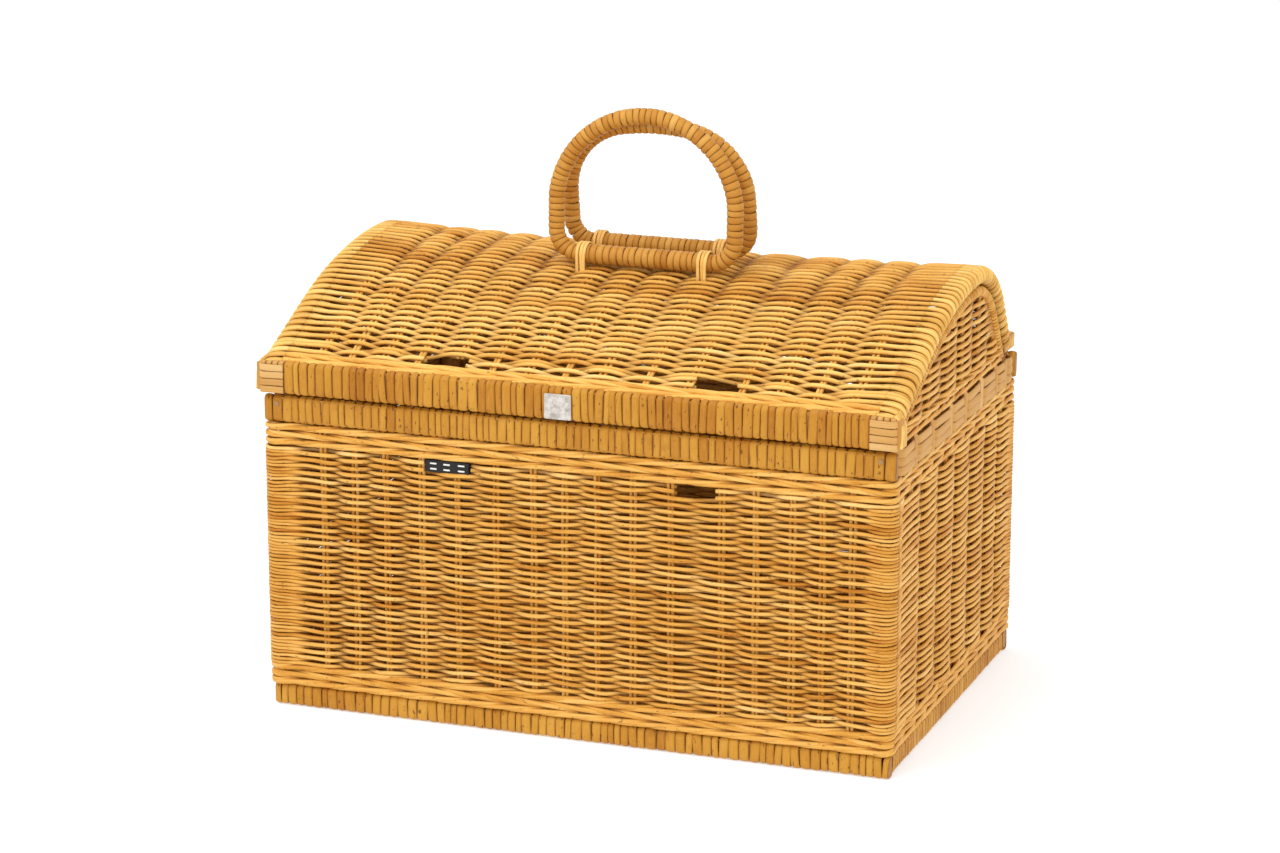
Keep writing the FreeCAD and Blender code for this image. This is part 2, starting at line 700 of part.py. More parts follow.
def dome_section(x):
    stops = [girth * i / 40.0 for i in range(41)]
    lines = []
    for off in (0.0, size["shell_th"]):
        curve = Part.BSplineCurve()
        curve.interpolate([dome_point(x, t, off) for t in stops],
                          InitialTangent=V(0, cos_f.v, sin_f.v),
                          FinalTangent=V(0, cos_r.v, -sin_r.v))
        lines.append(curve.toShape())
    a0, a1 = dome_point(x, 0.0, 0.0), dome_point(x, girth, 0.0)
    b0, b1 = (dome_point(x, 0.0, size["shell_th"]), dome_point(x, girth, size["shell_th"]))
    ri, rt, rf = size["rear_in"], size["rear_top"], size["rear_foot"]
    foot = V(x, rear_at(S.rear_foot, S.shell_th).v, rf)
    pts = [a1, V(x, ri, rt), V(x, ri, rf), foot, b1]
    edges = [lines[0]] + [Part.LineSegment(p, q).toShape() for p, q in zip(pts, pts[1:])]
    edges += [lines[1], Part.LineSegment(b0, a0).toShape()]
    return Part.Wire(edges)


sh = size["shell_half"]
dome = doc.addObject("Part::Feature", "lid_dome")
dome.Shape = Part.makeLoft([dome_section(x) for x in (-sh, -sh / 2, 0.0, sh / 2, sh)], True, True)
dome.Placement = FreeCAD.Placement(V(0, 0, 0), FreeCAD.Rotation())

# ---------------------------------------------- handle lashings and handles
ties = {}
for side, yc, zc, cx, low_z in (
        ("front", S.front_bar_y, S.front_bar_z, S.front_cx, S.front_tie_bot),
        ("rear", S.rear_bar_y, S.rear_bar_z, S.rear_cx, S.rear_tie_bot)):
    loops = []
    for i, sx in enumerate((-1, 1)):
        ro, ri = S.tie_out, S.tie_in
        segs = [(yc - ro, low_z), (yc + ro, low_z), (yc + ro, zc, ro, 1), (yc - ro, zc)]
        x0 = cx + S.tie_half * sx - S.tie_wide / 2
        b = prism("%s_tie_%d" % (side, i), "YZ_Plane", x0, S.tie_wide, segs)
        low = low_z + S.tie_out - S.tie_in
        segs = [(yc - ri, low), (yc + ri, low), (yc + ri, zc, ri, 1), (yc - ri, zc)]
        pocket(b, "YZ_Plane", x0 + S.tie_wide, S.tie_wide, segs, "_eye")
        loops.append(b)
    ties[side] = group(side + "_handle_lashings", *loops)
    kept[side + "_handle_lashings"] = ties[side]
kept["lid_weave"] = cut("lid_weave", dome, ties["front"], ties["rear"])


def handle_path(rise):
    """Closed D: base bar, tight corners, straight sides, round arch."""
    a, r, h, c = S.grip_half, S.grip_bend, S.grip_side, S.grip_corner
    c0 = a - r
    k = rise - r
    d = (k * k + c0 * c0) / (k * 2)
    big = r + d
    jx = c0 + r * (c0 / d)
    jz = h + r * ((d - k) / d)
    return [(0, 0), (a - c, 0, c, 1), (a, c), (a, h, r, 1), (jx, jz, big, 1), (-jx, jz, r, 1),
            (-a, h), (-a, c, c, 1), (-(a - c), 0)]


def handle_pipe(name, rise, radius):
    b = new_body(name)
    spine = sketch(b, name + "_line", "XZ_Plane", 0)
    outline(spine, handle_path(rise))
    prof = sketch(b, name + "_section", "YZ_Plane", 0)
    r = Q.of(radius)
    prof.addGeometry(Part.Circle(V(0, 0, 0), V(0, 0, 1), r.v), False)
    prof.addConstraint(Sketcher.Constraint("Coincident", 0, 3, -1, 1))
    k = prof.addConstraint(Sketcher.Constraint("Radius", 0, r.v))
    prof.setExpression("Constraints[%d]" % k, r.s)
    doc.recompute()
    p = b.newObject("PartDesign::AdditivePipe", name + "_pipe")
    p.Profile = prof
    p.Spine = (spine, [])
    doc.recompute()
    return b


def stand(obj, cx, yc, zc, angle):
    """Stand a handle on its base bar, leaning in by angle."""
    obj.Placement = FreeCAD.Placement(V(cx.v, yc.v, zc.v),
                                      FreeCAD.Rotation(V(1, 0, 0), angle.v))
    bind(obj, "Placement.Base.x", cx)
    bind(obj, "Placement.Base.y", yc)
    bind(obj, "Placement.Base.z", zc)
    bind(obj, "Placement.Rotation.Angle", angle)


for side, yc, zc, cx, rise, lean in (
        ("front", S.front_bar_y, S.front_bar_z, S.front_cx, S.front_rise, -S.front_lean),
        ("rear", S.rear_bar_y, S.rear_bar_z, S.rear_cx, S.rear_rise, S.rear_lean)):
    core = handle_pipe(side + "_handle_core", rise, S.core_rad)
    skin = handle_pipe(side + "_handle_skin", rise, S.grip_rad)
    sleeve_half = S.grip_half - S.grip_corner
    sk = sketch(skin, side + "_sleeve_outline", "YZ_Plane", -sleeve_half)
    sk.addGeometry(Part.Circle(V(0, 0, 0), V(0, 0, 1), S.bar_rad.v), False)
    sk.addConstraint(Sketcher.Constraint("Coincident", 0, 3, -1, 1))
    kk = sk.addConstraint(Sketcher.Constraint("Radius", 0, S.bar_rad.v))
    sk.setExpression("Constraints[%d]" % kk, S.bar_rad.s)
    pd = skin.newObject("PartDesign::Pad", side + "_sleeve_pad")
    pd.Profile = sk
    pd.Length = sleeve_half.v * 2
    bind(pd, "Length", sleeve_half * 2)
    doc.recompute()
    stand(core, cx, yc, zc, lean)
    stand(skin, cx, yc, zc, lean)
    kept[side + "_handle_core"] = core
    kept[side + "_handle_wrap"] = cut(side + "_handle_wrap", skin, core)

# ---------------------------------------------------- rolled edges of the lid
for side, sgn in (("left", -1), ("right", 1)):
    xc = S.roll_x * sgn
    y0 = yin + S.roll_rad * sin_f + 0.1
    z1 = S.rear_top + S.roll_rad * cos_r + 0.1
    bent = arch_rod("lid_edge_rod_" + side, xc, S.roll_rad, y0, z1, S.rod_rad)
    kept["lid_edge_rod_" + side] = bent
    roll = arch_rod("lid_roll_" + side, xc, S.roll_rad, y0, z1, S.roll_rad)
    th = S.shell_th
    segs = [(-S.dome_eave, S.lid_top), (yin, S.lid_top), (yin, zin),
            front_tangent(th) + (S.front_rad - th, -1),
            (S.crest_y, crest_z - th, S.rear_rad - th, -1), rear_tangent(th),
            (rear_at(S.rear_foot, th), S.rear_foot), (S.rear_in, S.rear_foot),
            (S.rear_in, S.rear_top), (rear_at(S.rear_top, 0), S.rear_top),
            rear_tangent(0) + (S.rear_rad, 1), (S.crest_y, crest_z, S.front_rad, 1),
            front_tangent(0)]
    x0 = xc if sgn < 0 else S.shell_half
    flap = prism("lid_flap_" + side, "YZ_Plane", x0, S.roll_x - S.shell_half, segs)
    whole = fuse("lid_roll_whole_" + side, roll, flap)
    kept["lid_edge_roll_" + side] = cut("lid_edge_roll_" + side, whole, bent)

# --------------------------------------------------------- the badge and hinges
kept["badge_plate"] = prism("badge_plate", "YZ_Plane", S.badge_x - S.badge_w / 2, S.badge_w,
                            rect(-ly - S.badge_t, -ly, S.badge_z - S.badge_h / 2,
                                 S.badge_z + S.badge_h / 2))
round_edges(kept["badge_plate"], 0.3, lambda m, d: abs(m.y + ly.v + S.badge_t.v) < 0.01)

fixed, moving, pins = [], [], []
for i, k in enumerate((-1, 0, 1)):
    xm = S.hinge_x * k if k else Q.of(0.0)
    # knuckle on the body: an eye, a bridge and a leaf on the rim rail
    x0 = xm - S.knuckle_w - 0.25
    eye = rod("knuckle_%d" % i, x0, S.hinge_y, S.hinge_z, S.knuckle_rad, S.knuckle_w,
              V(0, 1, 0), 90)
    leaf = box("leaf_%d" % i, x0, x0 + S.knuckle_w, half_y, half_y + S.leaf_th,
               S.rim_bot + 3, S.hinge_z - 0.4)
    arm = box("arm_%d" % i, x0, x0 + S.knuckle_w, half_y, S.hinge_y, S.hinge_z - S.knuckle_rad,
              S.hinge_z - 1.0)
    solid = fuse("knuckle_solid_%d" % i, eye, leaf, arm)
    pin = rod("pin_%d" % i, x0 - 1, S.hinge_y, S.hinge_z, S.pin_rad, S.knuckle_w * 2 + 2.5,
              V(0, 1, 0), 90)
    pins.append(pin)
    fixed.append(cut("hinge_knuckle_%d" % i, solid, pin))
    # eye on the lid, with a leaf up the back of the rear rail
    x1 = xm + 0.25
    eye = rod("lid_eye_%d" % i, x1, S.hinge_y, S.hinge_z, S.eye_rad, S.knuckle_w, V(0, 1, 0), 90)
    leaf = box("lid_leaf_%d" % i, x1, x1 + S.knuckle_w, ly, ly + S.leaf_th, S.hinge_z + 1.0,
               S.rear_top - 2)
    both = fuse("lid_eye_solid_%d" % i, eye, leaf)
    hole = rod("lid_hole_%d" % i, x1 - 1, S.hinge_y, S.hinge_z, S.eye_hole, S.knuckle_w + 2,
               V(0, 1, 0), 90)
    moving.append(cut("lid_eye_cut_%d" % i, both, hole))
kept["rim_hinge_loops"] = group("rim_hinge_loops", *fixed)
kept["lid_hinge_loops"] = group("lid_hinge_loops", *moving)
kept["hinge_pins"] = group("hinge_pins", *pins)

# --------------------------------------------------------------- check, write
doc.recompute()
bad = [o.Name for o in doc.Objects if "Invalid" in o.State or "Error" in o.State]
if bad:
    raise RuntimeError("failed objects: " + ", ".join(bad))
for node, obj in kept.items():
    shape = obj.Shape
    if shape.isNull() or not shape.isValid() or not shape.Solids:
        raise RuntimeError("bad shape: " + node)
    if obj.Label != node:
        raise RuntimeError("label %s is not node %s" % (obj.Label, node))
os.makedirs("parts", exist_ok=True)
for node, obj in kept.items():
    obj.Shape.exportStep("parts/%s.step" % node)
print("nodes", len(kept), "solids", sum(len(o.Shape.Solids) for o in kept.values()))
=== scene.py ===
import bpy
import math
import numpy as np
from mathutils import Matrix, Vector


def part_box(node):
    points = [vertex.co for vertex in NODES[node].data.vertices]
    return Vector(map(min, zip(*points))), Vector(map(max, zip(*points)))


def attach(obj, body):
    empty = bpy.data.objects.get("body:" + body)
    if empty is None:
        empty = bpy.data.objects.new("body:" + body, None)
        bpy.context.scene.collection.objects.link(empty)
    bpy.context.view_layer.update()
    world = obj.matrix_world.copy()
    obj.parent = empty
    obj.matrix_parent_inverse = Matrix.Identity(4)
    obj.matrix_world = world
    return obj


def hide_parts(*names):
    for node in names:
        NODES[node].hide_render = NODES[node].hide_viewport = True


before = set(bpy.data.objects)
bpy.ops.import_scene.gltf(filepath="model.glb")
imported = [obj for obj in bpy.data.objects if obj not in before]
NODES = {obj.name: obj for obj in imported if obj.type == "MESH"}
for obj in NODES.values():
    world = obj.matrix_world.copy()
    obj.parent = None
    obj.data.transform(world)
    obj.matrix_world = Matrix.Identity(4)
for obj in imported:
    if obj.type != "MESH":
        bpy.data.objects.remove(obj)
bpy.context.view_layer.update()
PI = math.pi


# ---------------------------------------------------------------- small maths
def vec(*a):
    return np.array(a, float)


def unit(a):
    return a / np.maximum(np.linalg.norm(a, axis=-1, keepdims=True), 1e-12)


def smooth(t):
    t = np.clip(t, 0, 1)
    return t * t * (3 - 2 * t)


def waves(seed, kx, ky, n=9):
    """A smooth random field of two variables, about 1 in size. kx and ky are rad per mm."""
    r = np.random.default_rng(seed)
    ax, ay = r.normal(0, kx, n), r.normal(0, ky, n)
    ph, am = r.uniform(0, 2 * PI, n), r.uniform(.5, 1, n)
    am /= math.sqrt((am ** 2).sum() / 2)

    def f(x, y):
        out = 0
        for i in range(n):
            out = out + am[i] * np.sin(ax[i] * x + ay[i] * y + ph[i])
        return out
    return f


# ---------------------------------------------------------------- mesh piles
class Pile:
    """Collects strands and straps (in mm) and makes one mesh of them (in m)."""

    def __init__(self):
        self.v, self.f4, self.caps, self.att, self.n = [], [], [], [], 0

    def grid(self, V, tone, along, across, painted_shade_and_joints, seed, close_k=False, caps=False):
        """V is (M, K, S, 3): M items, K steps along, S points round a closed section."""
        M, K, S, _ = V.shape
        idx = np.arange(M * K * S).reshape(M, K, S)
        a = idx if close_k else idx[:, :-1]
        b = np.roll(idx, -1, 1) if close_k else idx[:, 1:]
        a2, b2 = np.roll(a, -1, 2), np.roll(b, -1, 2)
        q = np.stack([a, a2, b2, b], -1).reshape(-1, 4)
        c = V[0].reshape(-1, 3).mean(0)
        if close_k:
            # outwards means away from the section's own centre
            cc = V[0].mean(1)
            k = K // 2
            o = V[0, k, 0] - cc[k]
            e1 = V[0, (k + 1) % K, 0] - V[0, k, 0]
            e2 = V[0, k, 1] - V[0, k, 0]
            flip = np.dot(np.cross(e2, e1), o + V[0, k, 1] - cc[k]) < 0
        else:
            k = K // 2
            cc = V[0, k].mean(0)
            o = V[0, k, 0] + V[0, k, 1] - 2 * cc
            e1 = V[0, min(k + 1, K - 1), 0] - V[0, k, 0]
            e2 = V[0, k, 1] - V[0, k, 0]
            flip = np.dot(np.cross(e2, e1), o) < 0
        if flip:
            q = q[:, ::-1]
        self.f4.append(q + self.n)
        if caps:
            s0, s1 = idx[:, 0, ::-1], idx[:, -1, :]
            if flip:
                s0, s1 = s0[:, ::-1], s1[:, ::-1]
            self.caps.append((np.concatenate([s0, s1]) + self.n))
        self.v.append(V.reshape(-1, 3))
        full = lambda x: np.broadcast_to(x, (M, K, S)).reshape(-1)
        self.att.append(np.stack([full(np.asarray(x, float)) for x in (tone, along, across, painted_shade_and_joints, seed)], 1))
        self.n += M * K * S

    def tubes(self, P, N, ru, rv, tone, painted_shade_and_joints=None, seed=None, sides=6, caps=True, close_k=False, along0=0., painted_shade_and_joints_of=None):
        """Round or oval strands. P (M, K, 3) centre lines, N the outward direction, ru the radius along N, rv across it."""
        P = np.asarray(P, float)
        M, K, _ = P.shape
        N = np.broadcast_to(np.asarray(N, float), P.shape)
        if close_k:
            T = np.roll(P, -1, 1) - np.roll(P, 1, 1)
        else:
            T = np.gradient(P, axis=1)
        T = unit(T)
        B = unit(np.cross(T, N))
        N2 = np.cross(B, T)
        a = 2 * PI * (np.arange(sides) + .5) / sides
        ru = np.broadcast_to(ru, (M, K))[..., None, None]
        rv = np.broadcast_to(rv, (M, K))[..., None, None]
        ca, sa = np.cos(a)[None, None, :, None], np.sin(a)[None, None, :, None]
        V = P[:, :, None] + ru * ca * N2[:, :, None] + rv * sa * B[:, :, None]
        step = np.linalg.norm(np.diff(P, axis=1), axis=2)
        along = np.concatenate([np.zeros((M, 1)), np.cumsum(step, 1)], 1)[..., None] + along0
        tone = np.asarray(tone, float)
        tone = tone.reshape(M, -1, 1) if tone.ndim else tone
        seed = np.zeros(M) if seed is None else np.asarray(seed, float)
        d = 0. if painted_shade_and_joints is None else np.asarray(painted_shade_and_joints, float).reshape(M, -1, 1)
        if painted_shade_and_joints_of is not None:
            d = painted_shade_and_joints_of(V)
        self.grid(V, tone, along, rv[..., 0] * np.sin(a), d, seed.reshape(M, 1, 1), close_k, caps and not close_k)

    def build(self, name, mat, body, nodes=(), smooth_it=True):
        v = (np.concatenate(self.v) * .001).astype(np.float32)
        f4 = np.concatenate(self.f4) if self.f4 else np.zeros((0, 4), int)
        loops, starts = [f4.reshape(-1)], [np.arange(len(f4)) * 4]
        at = len(f4) * 4
        for c in self.caps:
            m, s = c.shape
            loops.append(c.reshape(-1))
            starts.append(at + np.arange(m) * s)
            at += m * s
        loops, starts = np.concatenate(loops).astype(np.int32), np.concatenate(starts).astype(np.int32)
        me = bpy.data.meshes.new(name)
        me.vertices.add(len(v))
        me.vertices.foreach_set("co", v.reshape(-1))
        me.loops.add(len(loops))
        me.loops.foreach_set("vertex_index", loops)
        me.polygons.add(len(starts))
        me.polygons.foreach_set("loop_start", starts)
        me.polygons.foreach_set("use_smooth", np.full(len(starts), smooth_it))
        me.update(calc_edges=True)
        att = np.concatenate(self.att).astype(np.float32)
        for i, key in enumerate(("tone", "along", "across", "painted_shade_and_joints", "seed")):
            me.attributes.new(key, "FLOAT", "POINT").data.foreach_set("value", np.ascontiguousarray(att[:, i]))
        me.materials.append(mat)
        ob = bpy.data.objects.new(name, me)
        bpy.context.scene.collection.objects.link(ob)
        if nodes:
            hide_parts(*nodes)
        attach(ob, body)
        TRIS[name] = len(f4) * 2 + sum(c.shape[0] * (c.shape[1] - 2) for c in self.caps)
        return ob


TRIS = {}


# ---------------------------------------------------------------- materials
def node(nt, kind, **kw):
    n = nt.nodes.new(kind)
    for k, v in kw.items():
        setattr(n, k, v)
    return n


def maths(nt, op, a, b=None, c=None, clamp=False):
    n = nt.nodes.new("ShaderNodeMath")
    n.operation = op
    n.use_clamp = clamp
    for i, x in enumerate((a, b, c)):
        if x is None:
            continue
        if hasattr(x, "links"):
            nt.links.new(x, n.inputs[i])
        else:
            n.inputs[i].default_value = x
    return n.outputs[0]


def mix(nt, fac, a, b, kind="MIX"):
    n = nt.nodes.new("ShaderNodeMix")
    n.data_type = "RGBA"
    n.blend_type = kind
    for sock, x in ((n.inputs[0], fac), (n.inputs[6], a), (n.inputs[7], b)):
        if hasattr(x, "links"):
            nt.links.new(x, sock)
        elif isinstance(x, (int, float)):
            sock.default_value = x
        else:
            sock.default_value = (*x, 1)
    return n.outputs[2]


def ramp(nt, fac, stops):
    n = nt.nodes.new("ShaderNodeValToRGB")
    e = n.color_ramp.elements
    while len(e) > 1:
        e.remove(e[-1])
    e[0].position, e[0].color = stops[0][0], (*lin(stops[0][1]), 1)
    for p, c in stops[1:]:
        x = e.new(p)
        x.color = (*lin(c), 1)
    nt.links.new(fac, n.inputs[0])
    return n.outputs[0]


def lin(c):
    return tuple((x / 255 / 12.92) if x / 255 <= .04045 else ((x / 255 + .055) / 1.055) ** 2.4 for x in c)


def noise(nt, vector, scale, detail=2., rough=.5):
    n = nt.nodes.new("ShaderNodeTexNoise")
    n.inputs["Scale"].default_value = scale
    n.inputs["Detail"].default_value = detail
    n.inputs["Roughness"].default_value = rough
    nt.links.new(vector, n.inputs["Vector"])
    return n.outputs[0]


def cane(name, stops, rough=(.36, .54), spec=.5, coat=0., patch=.25, streak=.5, stretch=.05, knots=.0, painted_shade_and_joint_colour=(92, 40, 2),
         painted_shade_and_joint_gain=.85, stain=(150, 82, 38), stains=.0, bump=.25, grey=.0):
    m = bpy.data.materials.new(name)
    m.use_nodes = True
    nt = m.node_tree
    bs = nt.nodes["Principled BSDF"]
    at = {k: node(nt, "ShaderNodeAttribute", attribute_name=k).outputs["Fac"] for k in ("tone", "along", "across", "painted_shade_and_joints", "seed")}
    tc = nt.nodes.new("ShaderNodeTexCoord").outputs["Object"]
    cx = nt.nodes.new("ShaderNodeCombineXYZ")
    nt.links.new(maths(nt, "MULTIPLY", at["along"], stretch), cx.inputs[0])
    nt.links.new(maths(nt, "MULTIPLY_ADD", at["seed"], 91.7, maths(nt, "MULTIPLY", at["across"], .9)), cx.inputs[1])
    nt.links.new(maths(nt, "MULTIPLY", at["seed"], 37.3), cx.inputs[2])
    fibre = noise(nt, cx.outputs[0], 1., 4., .62)
    blot = noise(nt, tc, 21., 3., .55)
    fine = noise(nt, tc, 760., 2., .5)
    t = maths(nt, "ADD", at["tone"], maths(nt, "MULTIPLY", maths(nt, "SUBTRACT", fibre, .5), streak * 2))
    t = maths(nt, "ADD", t, maths(nt, "MULTIPLY", maths(nt, "SUBTRACT", blot, .5), patch * 2))
    t = maths(nt, "ADD", t, maths(nt, "MULTIPLY", maths(nt, "SUBTRACT", fine, .5), .16), clamp=True)
    col = ramp(nt, t, stops)
    if stains:
        w = noise(nt, tc, 33., 4., .6)
        w = maths(nt, "MULTIPLY", maths(nt, "MULTIPLY_ADD", w, 7., -4.2, clamp=True), stains)
        col = mix(nt, w, col, lin(stain))
    if grey:
        w2 = noise(nt, tc, 52., 5., .68)
        w2 = maths(nt, "MULTIPLY", maths(nt, "MULTIPLY_ADD", w2, 9., -5.3, clamp=True), grey)
        col = mix(nt, w2, col, lin((208, 168, 128)))
    if knots:
        c2 = nt.nodes.new("ShaderNodeCombineXYZ")
        nt.links.new(maths(nt, "MULTIPLY", at["along"], .22), c2.inputs[0])
        nt.links.new(maths(nt, "MULTIPLY_ADD", at["seed"], 53.1, maths(nt, "MULTIPLY", at["across"], .5)), c2.inputs[1])
        nt.links.new(maths(nt, "MULTIPLY", at["seed"], 11.9), c2.inputs[2])
        k = noise(nt, c2.outputs[0], 1., 1., .4)
        k = maths(nt, "MULTIPLY", maths(nt, "MULTIPLY_ADD", k, 16., -11., clamp=True), knots)
        col = mix(nt, k, col, lin((98, 52, 22)))
    # painted shade: the colour is mixed towards a dark brown where the attribute is high, in recesses, under the rolled
    # edges and on parts behind others; on the straps it marks their dark joints
    d = maths(nt, "MULTIPLY", maths(nt, "POWER", at["painted_shade_and_joints"], 1.35, clamp=True), painted_shade_and_joint_gain)
    col = mix(nt, d, col, lin(painted_shade_and_joint_colour))
    nt.links.new(col, bs.inputs["Base Color"])
    r = maths(nt, "MULTIPLY_ADD", fibre, (rough[1] - rough[0]) * 1.6, rough[0] - .3 * (rough[1] - rough[0]))
    nt.links.new(maths(nt, "MAXIMUM", r, .2), bs.inputs["Roughness"])
    bs.inputs["Specular IOR Level"].default_value = spec
    if coat:
        bs.inputs["Coat Weight"].default_value = coat
        bs.inputs["Coat Roughness"].default_value = .28
    if bump:
        b = nt.nodes.new("ShaderNodeBump")
        b.inputs["Strength"].default_value = bump
        b.inputs["Distance"].default_value = .0004
        nt.links.new(maths(nt, "MULTIPLY_ADD", fibre, .8, maths(nt, "MULTIPLY", fine, .5)), b.inputs["Height"])
        nt.links.new(b.outputs[0], bs.inputs["Normal"])
    return m


GOLD = [(0., (134, 70, 8)), (.2, (184, 114, 28)), (.42, (216, 155, 64)), (.66, (232, 180, 94)), (1., (245, 204, 132))]
LID = [(0., (150, 84, 14)), (.2, (198, 132, 42)), (.42, (226, 168, 76)), (.66, (240, 190, 100)), (1., (250, 212, 134))]
ROLL = [(0., (150, 88, 20)), (.2, (196, 138, 50)), (.42, (224, 172, 80)), (.66, (240, 194, 104)), (1., (252, 214, 134))]
AMBER = [(0., (132, 70, 8)), (.22, (168, 104, 22)), (.5, (194, 136, 44)), (.78, (210, 156, 62)), (1., (230, 184, 98))]
HANDLE = [(0., (136, 76, 18)), (.25, (176, 112, 36)), (.55, (198, 140, 58)), (.8, (214, 162, 80)), (1., (230, 188, 112))]
SPLINT = [(0., (150, 92, 34)), (.3, (186, 132, 64)), (.6, (204, 154, 86)), (1., (224, 184, 122))]
ROD = [(0., (132, 78, 22)), (.35, (182, 122, 48)), (.7, (208, 150, 74)), (1., (228, 182, 108))]

# each cane's last colour is its painted shade and dark-joint colour
M_WEAVE = cane("core_weave", GOLD, spec=.16, patch=.13, streak=.34, knots=.5, stains=.2, stain=(190, 108, 44), painted_shade_and_joint_colour=(88, 28, 0))
M_LID = cane("core_weave_lid", LID, spec=.18, patch=.13, streak=.32, knots=.45, stains=.18, stain=(200, 126, 54), painted_shade_and_joint_colour=(94, 32, 0))
M_ROLL = cane("core_weave_roll", ROLL, spec=.3, patch=.12, streak=.34, knots=.3, stains=.15, stain=(190, 116, 46), painted_shade_and_joint_colour=(92, 40, 0))
M_RAIL = cane("cane_rail", AMBER, rough=(.34, .54), spec=.2, patch=.17, streak=.2, stretch=.12, knots=.8, stains=.42,
              stain=(138, 70, 14), painted_shade_and_joint_gain=.9, painted_shade_and_joint_colour=(104, 44, 0))
M_HANDLE = cane("cane_handle", HANDLE, rough=(.32, .5), spec=.16, patch=.15, streak=.15, stretch=.12, knots=.3, stains=.25,
                stain=(150, 84, 26), painted_shade_and_joint_gain=.9, painted_shade_and_joint_colour=(104, 48, 2))
M_LASH = cane("cane_lashing", LID, rough=(.32, .48), patch=.1, streak=.25)
M_SPLINT = cane("splint", SPLINT, rough=(.5, .68), spec=.22, patch=.12, streak=.3, stretch=.02, stains=.25, stain=(176, 116, 56), grey=.25)
M_ROD = cane("rattan_rod", ROD, rough=(.45, .62), patch=.2, streak=.4, stretch=.02, knots=.4)


def plain_rod(name, stops, rough, grain=(240., 240., 18.)):
    """For the CAD's own pieces, which carry no strand attributes."""
    m = bpy.data.materials.new(name)
    m.use_nodes = True
    nt = m.node_tree
    bs = nt.nodes["Principled BSDF"]
    tc = nt.nodes.new("ShaderNodeTexCoord").outputs["Object"]
    mp = nt.nodes.new("ShaderNodeMapping")
    mp.inputs["Scale"].default_value = grain
    nt.links.new(tc, mp.inputs["Vector"])
    n1, n2 = noise(nt, mp.outputs[0], 1., 4., .6), noise(nt, tc, 40., 3., .5)
    t = maths(nt, "ADD", maths(nt, "MULTIPLY", n1, .7), maths(nt, "MULTIPLY", n2, .3), clamp=True)
    nt.links.new(ramp(nt, t, stops), bs.inputs["Base Color"])
    nt.links.new(maths(nt, "MULTIPLY_ADD", n1, .25, rough), bs.inputs["Roughness"])
    return m


M_CORE = plain_rod("rattan_core", [(0., (140, 86, 26)), (.4, (184, 124, 46)), (1., (212, 156, 76))], .5)
M_WIRE = plain_rod("pin_wire", [(0., (92, 84, 76)), (.5, (132, 124, 116)), (1., (168, 160, 150))], .3, (300., 300., 300.))
M_WIRE.node_tree.nodes["Principled BSDF"].inputs["Metallic"].default_value = 1.
M_NAIL = plain_rod("nail_head", [(0., (120, 90, 58)), (.5, (168, 130, 88)), (1., (196, 160, 116))], .45, (300., 300., 300.))
M_NAIL.node_tree.nodes["Principled BSDF"].inputs["Metallic"].default_value = .5
M_LOOP = plain_rod("hinge_cane", [(0., (150, 88, 30)), (.4, (206, 142, 66)), (1., (240, 190, 110))], .38, (60., 420., 420.))

# ---------------------------------------------------------------- the plan outline of the walls
R0 = 10.
CX0, CY0 = 240 - R0, 162 - R0
ARC = R0 * PI / 2
SEG = [ARC, 2 * CX0, ARC, 2 * CY0, ARC, 2 * CX0, ARC, 2 * CY0]
ST = np.concatenate([[0], np.cumsum(SEG)])
PERIM = ST[-1]
S_FRONT, S_RIGHT, S_REAR, S_LEFT = ST[0], ST[3], ST[4], ST[7]


def outline(s, off):
    """Point (x, y) at a depth inside the outer outline, and the outward direction. s runs left corner, front, right, rear, left."""
    s = np.mod(s, PERIM)
    i = np.clip(np.searchsorted(ST, s, side="right") - 1, 0, 7)
    u = s - ST[i]
    x, y, nx, ny = (np.zeros(np.shape(s)) for _ in range(4))
    cen = {0: (-CX0, -CY0, PI), 2: (CX0, -CY0, 1.5 * PI), 4: (CX0, CY0, 0.), 6: (-CX0, CY0, .5 * PI)}
    # the weave stands out a little as it turns each corner
    g = np.where(i % 2 == 0, u - ARC / 2, np.minimum(u, np.array(SEG)[i] - u) + ARC / 2)
    near = u < np.array(SEG)[i] / 2
    left = (i == 0) | (i == 6) | (i == 7) | ((i == 1) & near) | ((i == 5) & ~near)
    off = off - np.where(left, 3.6, 1.5) * np.exp(-(g / 11.) ** 2)
    for k, (cx, cy, a0) in cen.items():
        m = i == k
        a = a0 + u / R0
        nx = np.where(m, np.cos(a), nx)
        ny = np.where(m, np.sin(a), ny)
        x = np.where(m, cx + (R0 - off) * np.cos(a), x)
        y = np.where(m, cy + (R0 - off) * np.sin(a), y)
    one = np.ones(np.shape(s))
    for k, fx, fy, n in ((1, -CX0 + u, -162 + off, (0, -1)), (3, 240 - off, -CY0 + u, (1, 0)),
                         (5, CX0 - u, 162 - off, (0, 1)), (7, -240 + off, CY0 - u, (-1, 0))):
        m = i == k
        x, y = np.where(m, fx * one, x), np.where(m, fy * one, y)
        nx, ny = np.where(m, n[0], nx), np.where(m, n[1], ny)
    return x, y, nx, ny


X_STAKES = np.array([-195, -170, -145, -117, -89, -59, -30, -6, 19, 46, 74.5, 112.5, 138, 165, 187, 209], float)
Y_STAKES = np.array([-111, -69, -21, 17, 61, 101, 129], float)
S_STAKES = {
    "front": ST[1] + X_STAKES + CX0,
    "right": S_RIGHT + Y_STAKES + CY0,
    "rear": np.sort(ST[5] + CX0 - X_STAKES),
    "left": np.sort(S_LEFT + CY0 - Y_STAKES),
}


def weave(s, cs, vs, flat=.12):
    """In and out between the control points, +1 outside and -1 inside."""
    i = np.clip(np.searchsorted(cs, s, side="right") - 1, 0, len(cs) - 2)
    t = (s - cs[i]) / (cs[i + 1] - cs[i])
    t = np.clip((t - flat) / (1 - 2 * flat), 0, 1)
    return vs[i] + (vs[i + 1] - vs[i]) * (.5 - .5 * np.cos(PI * t))
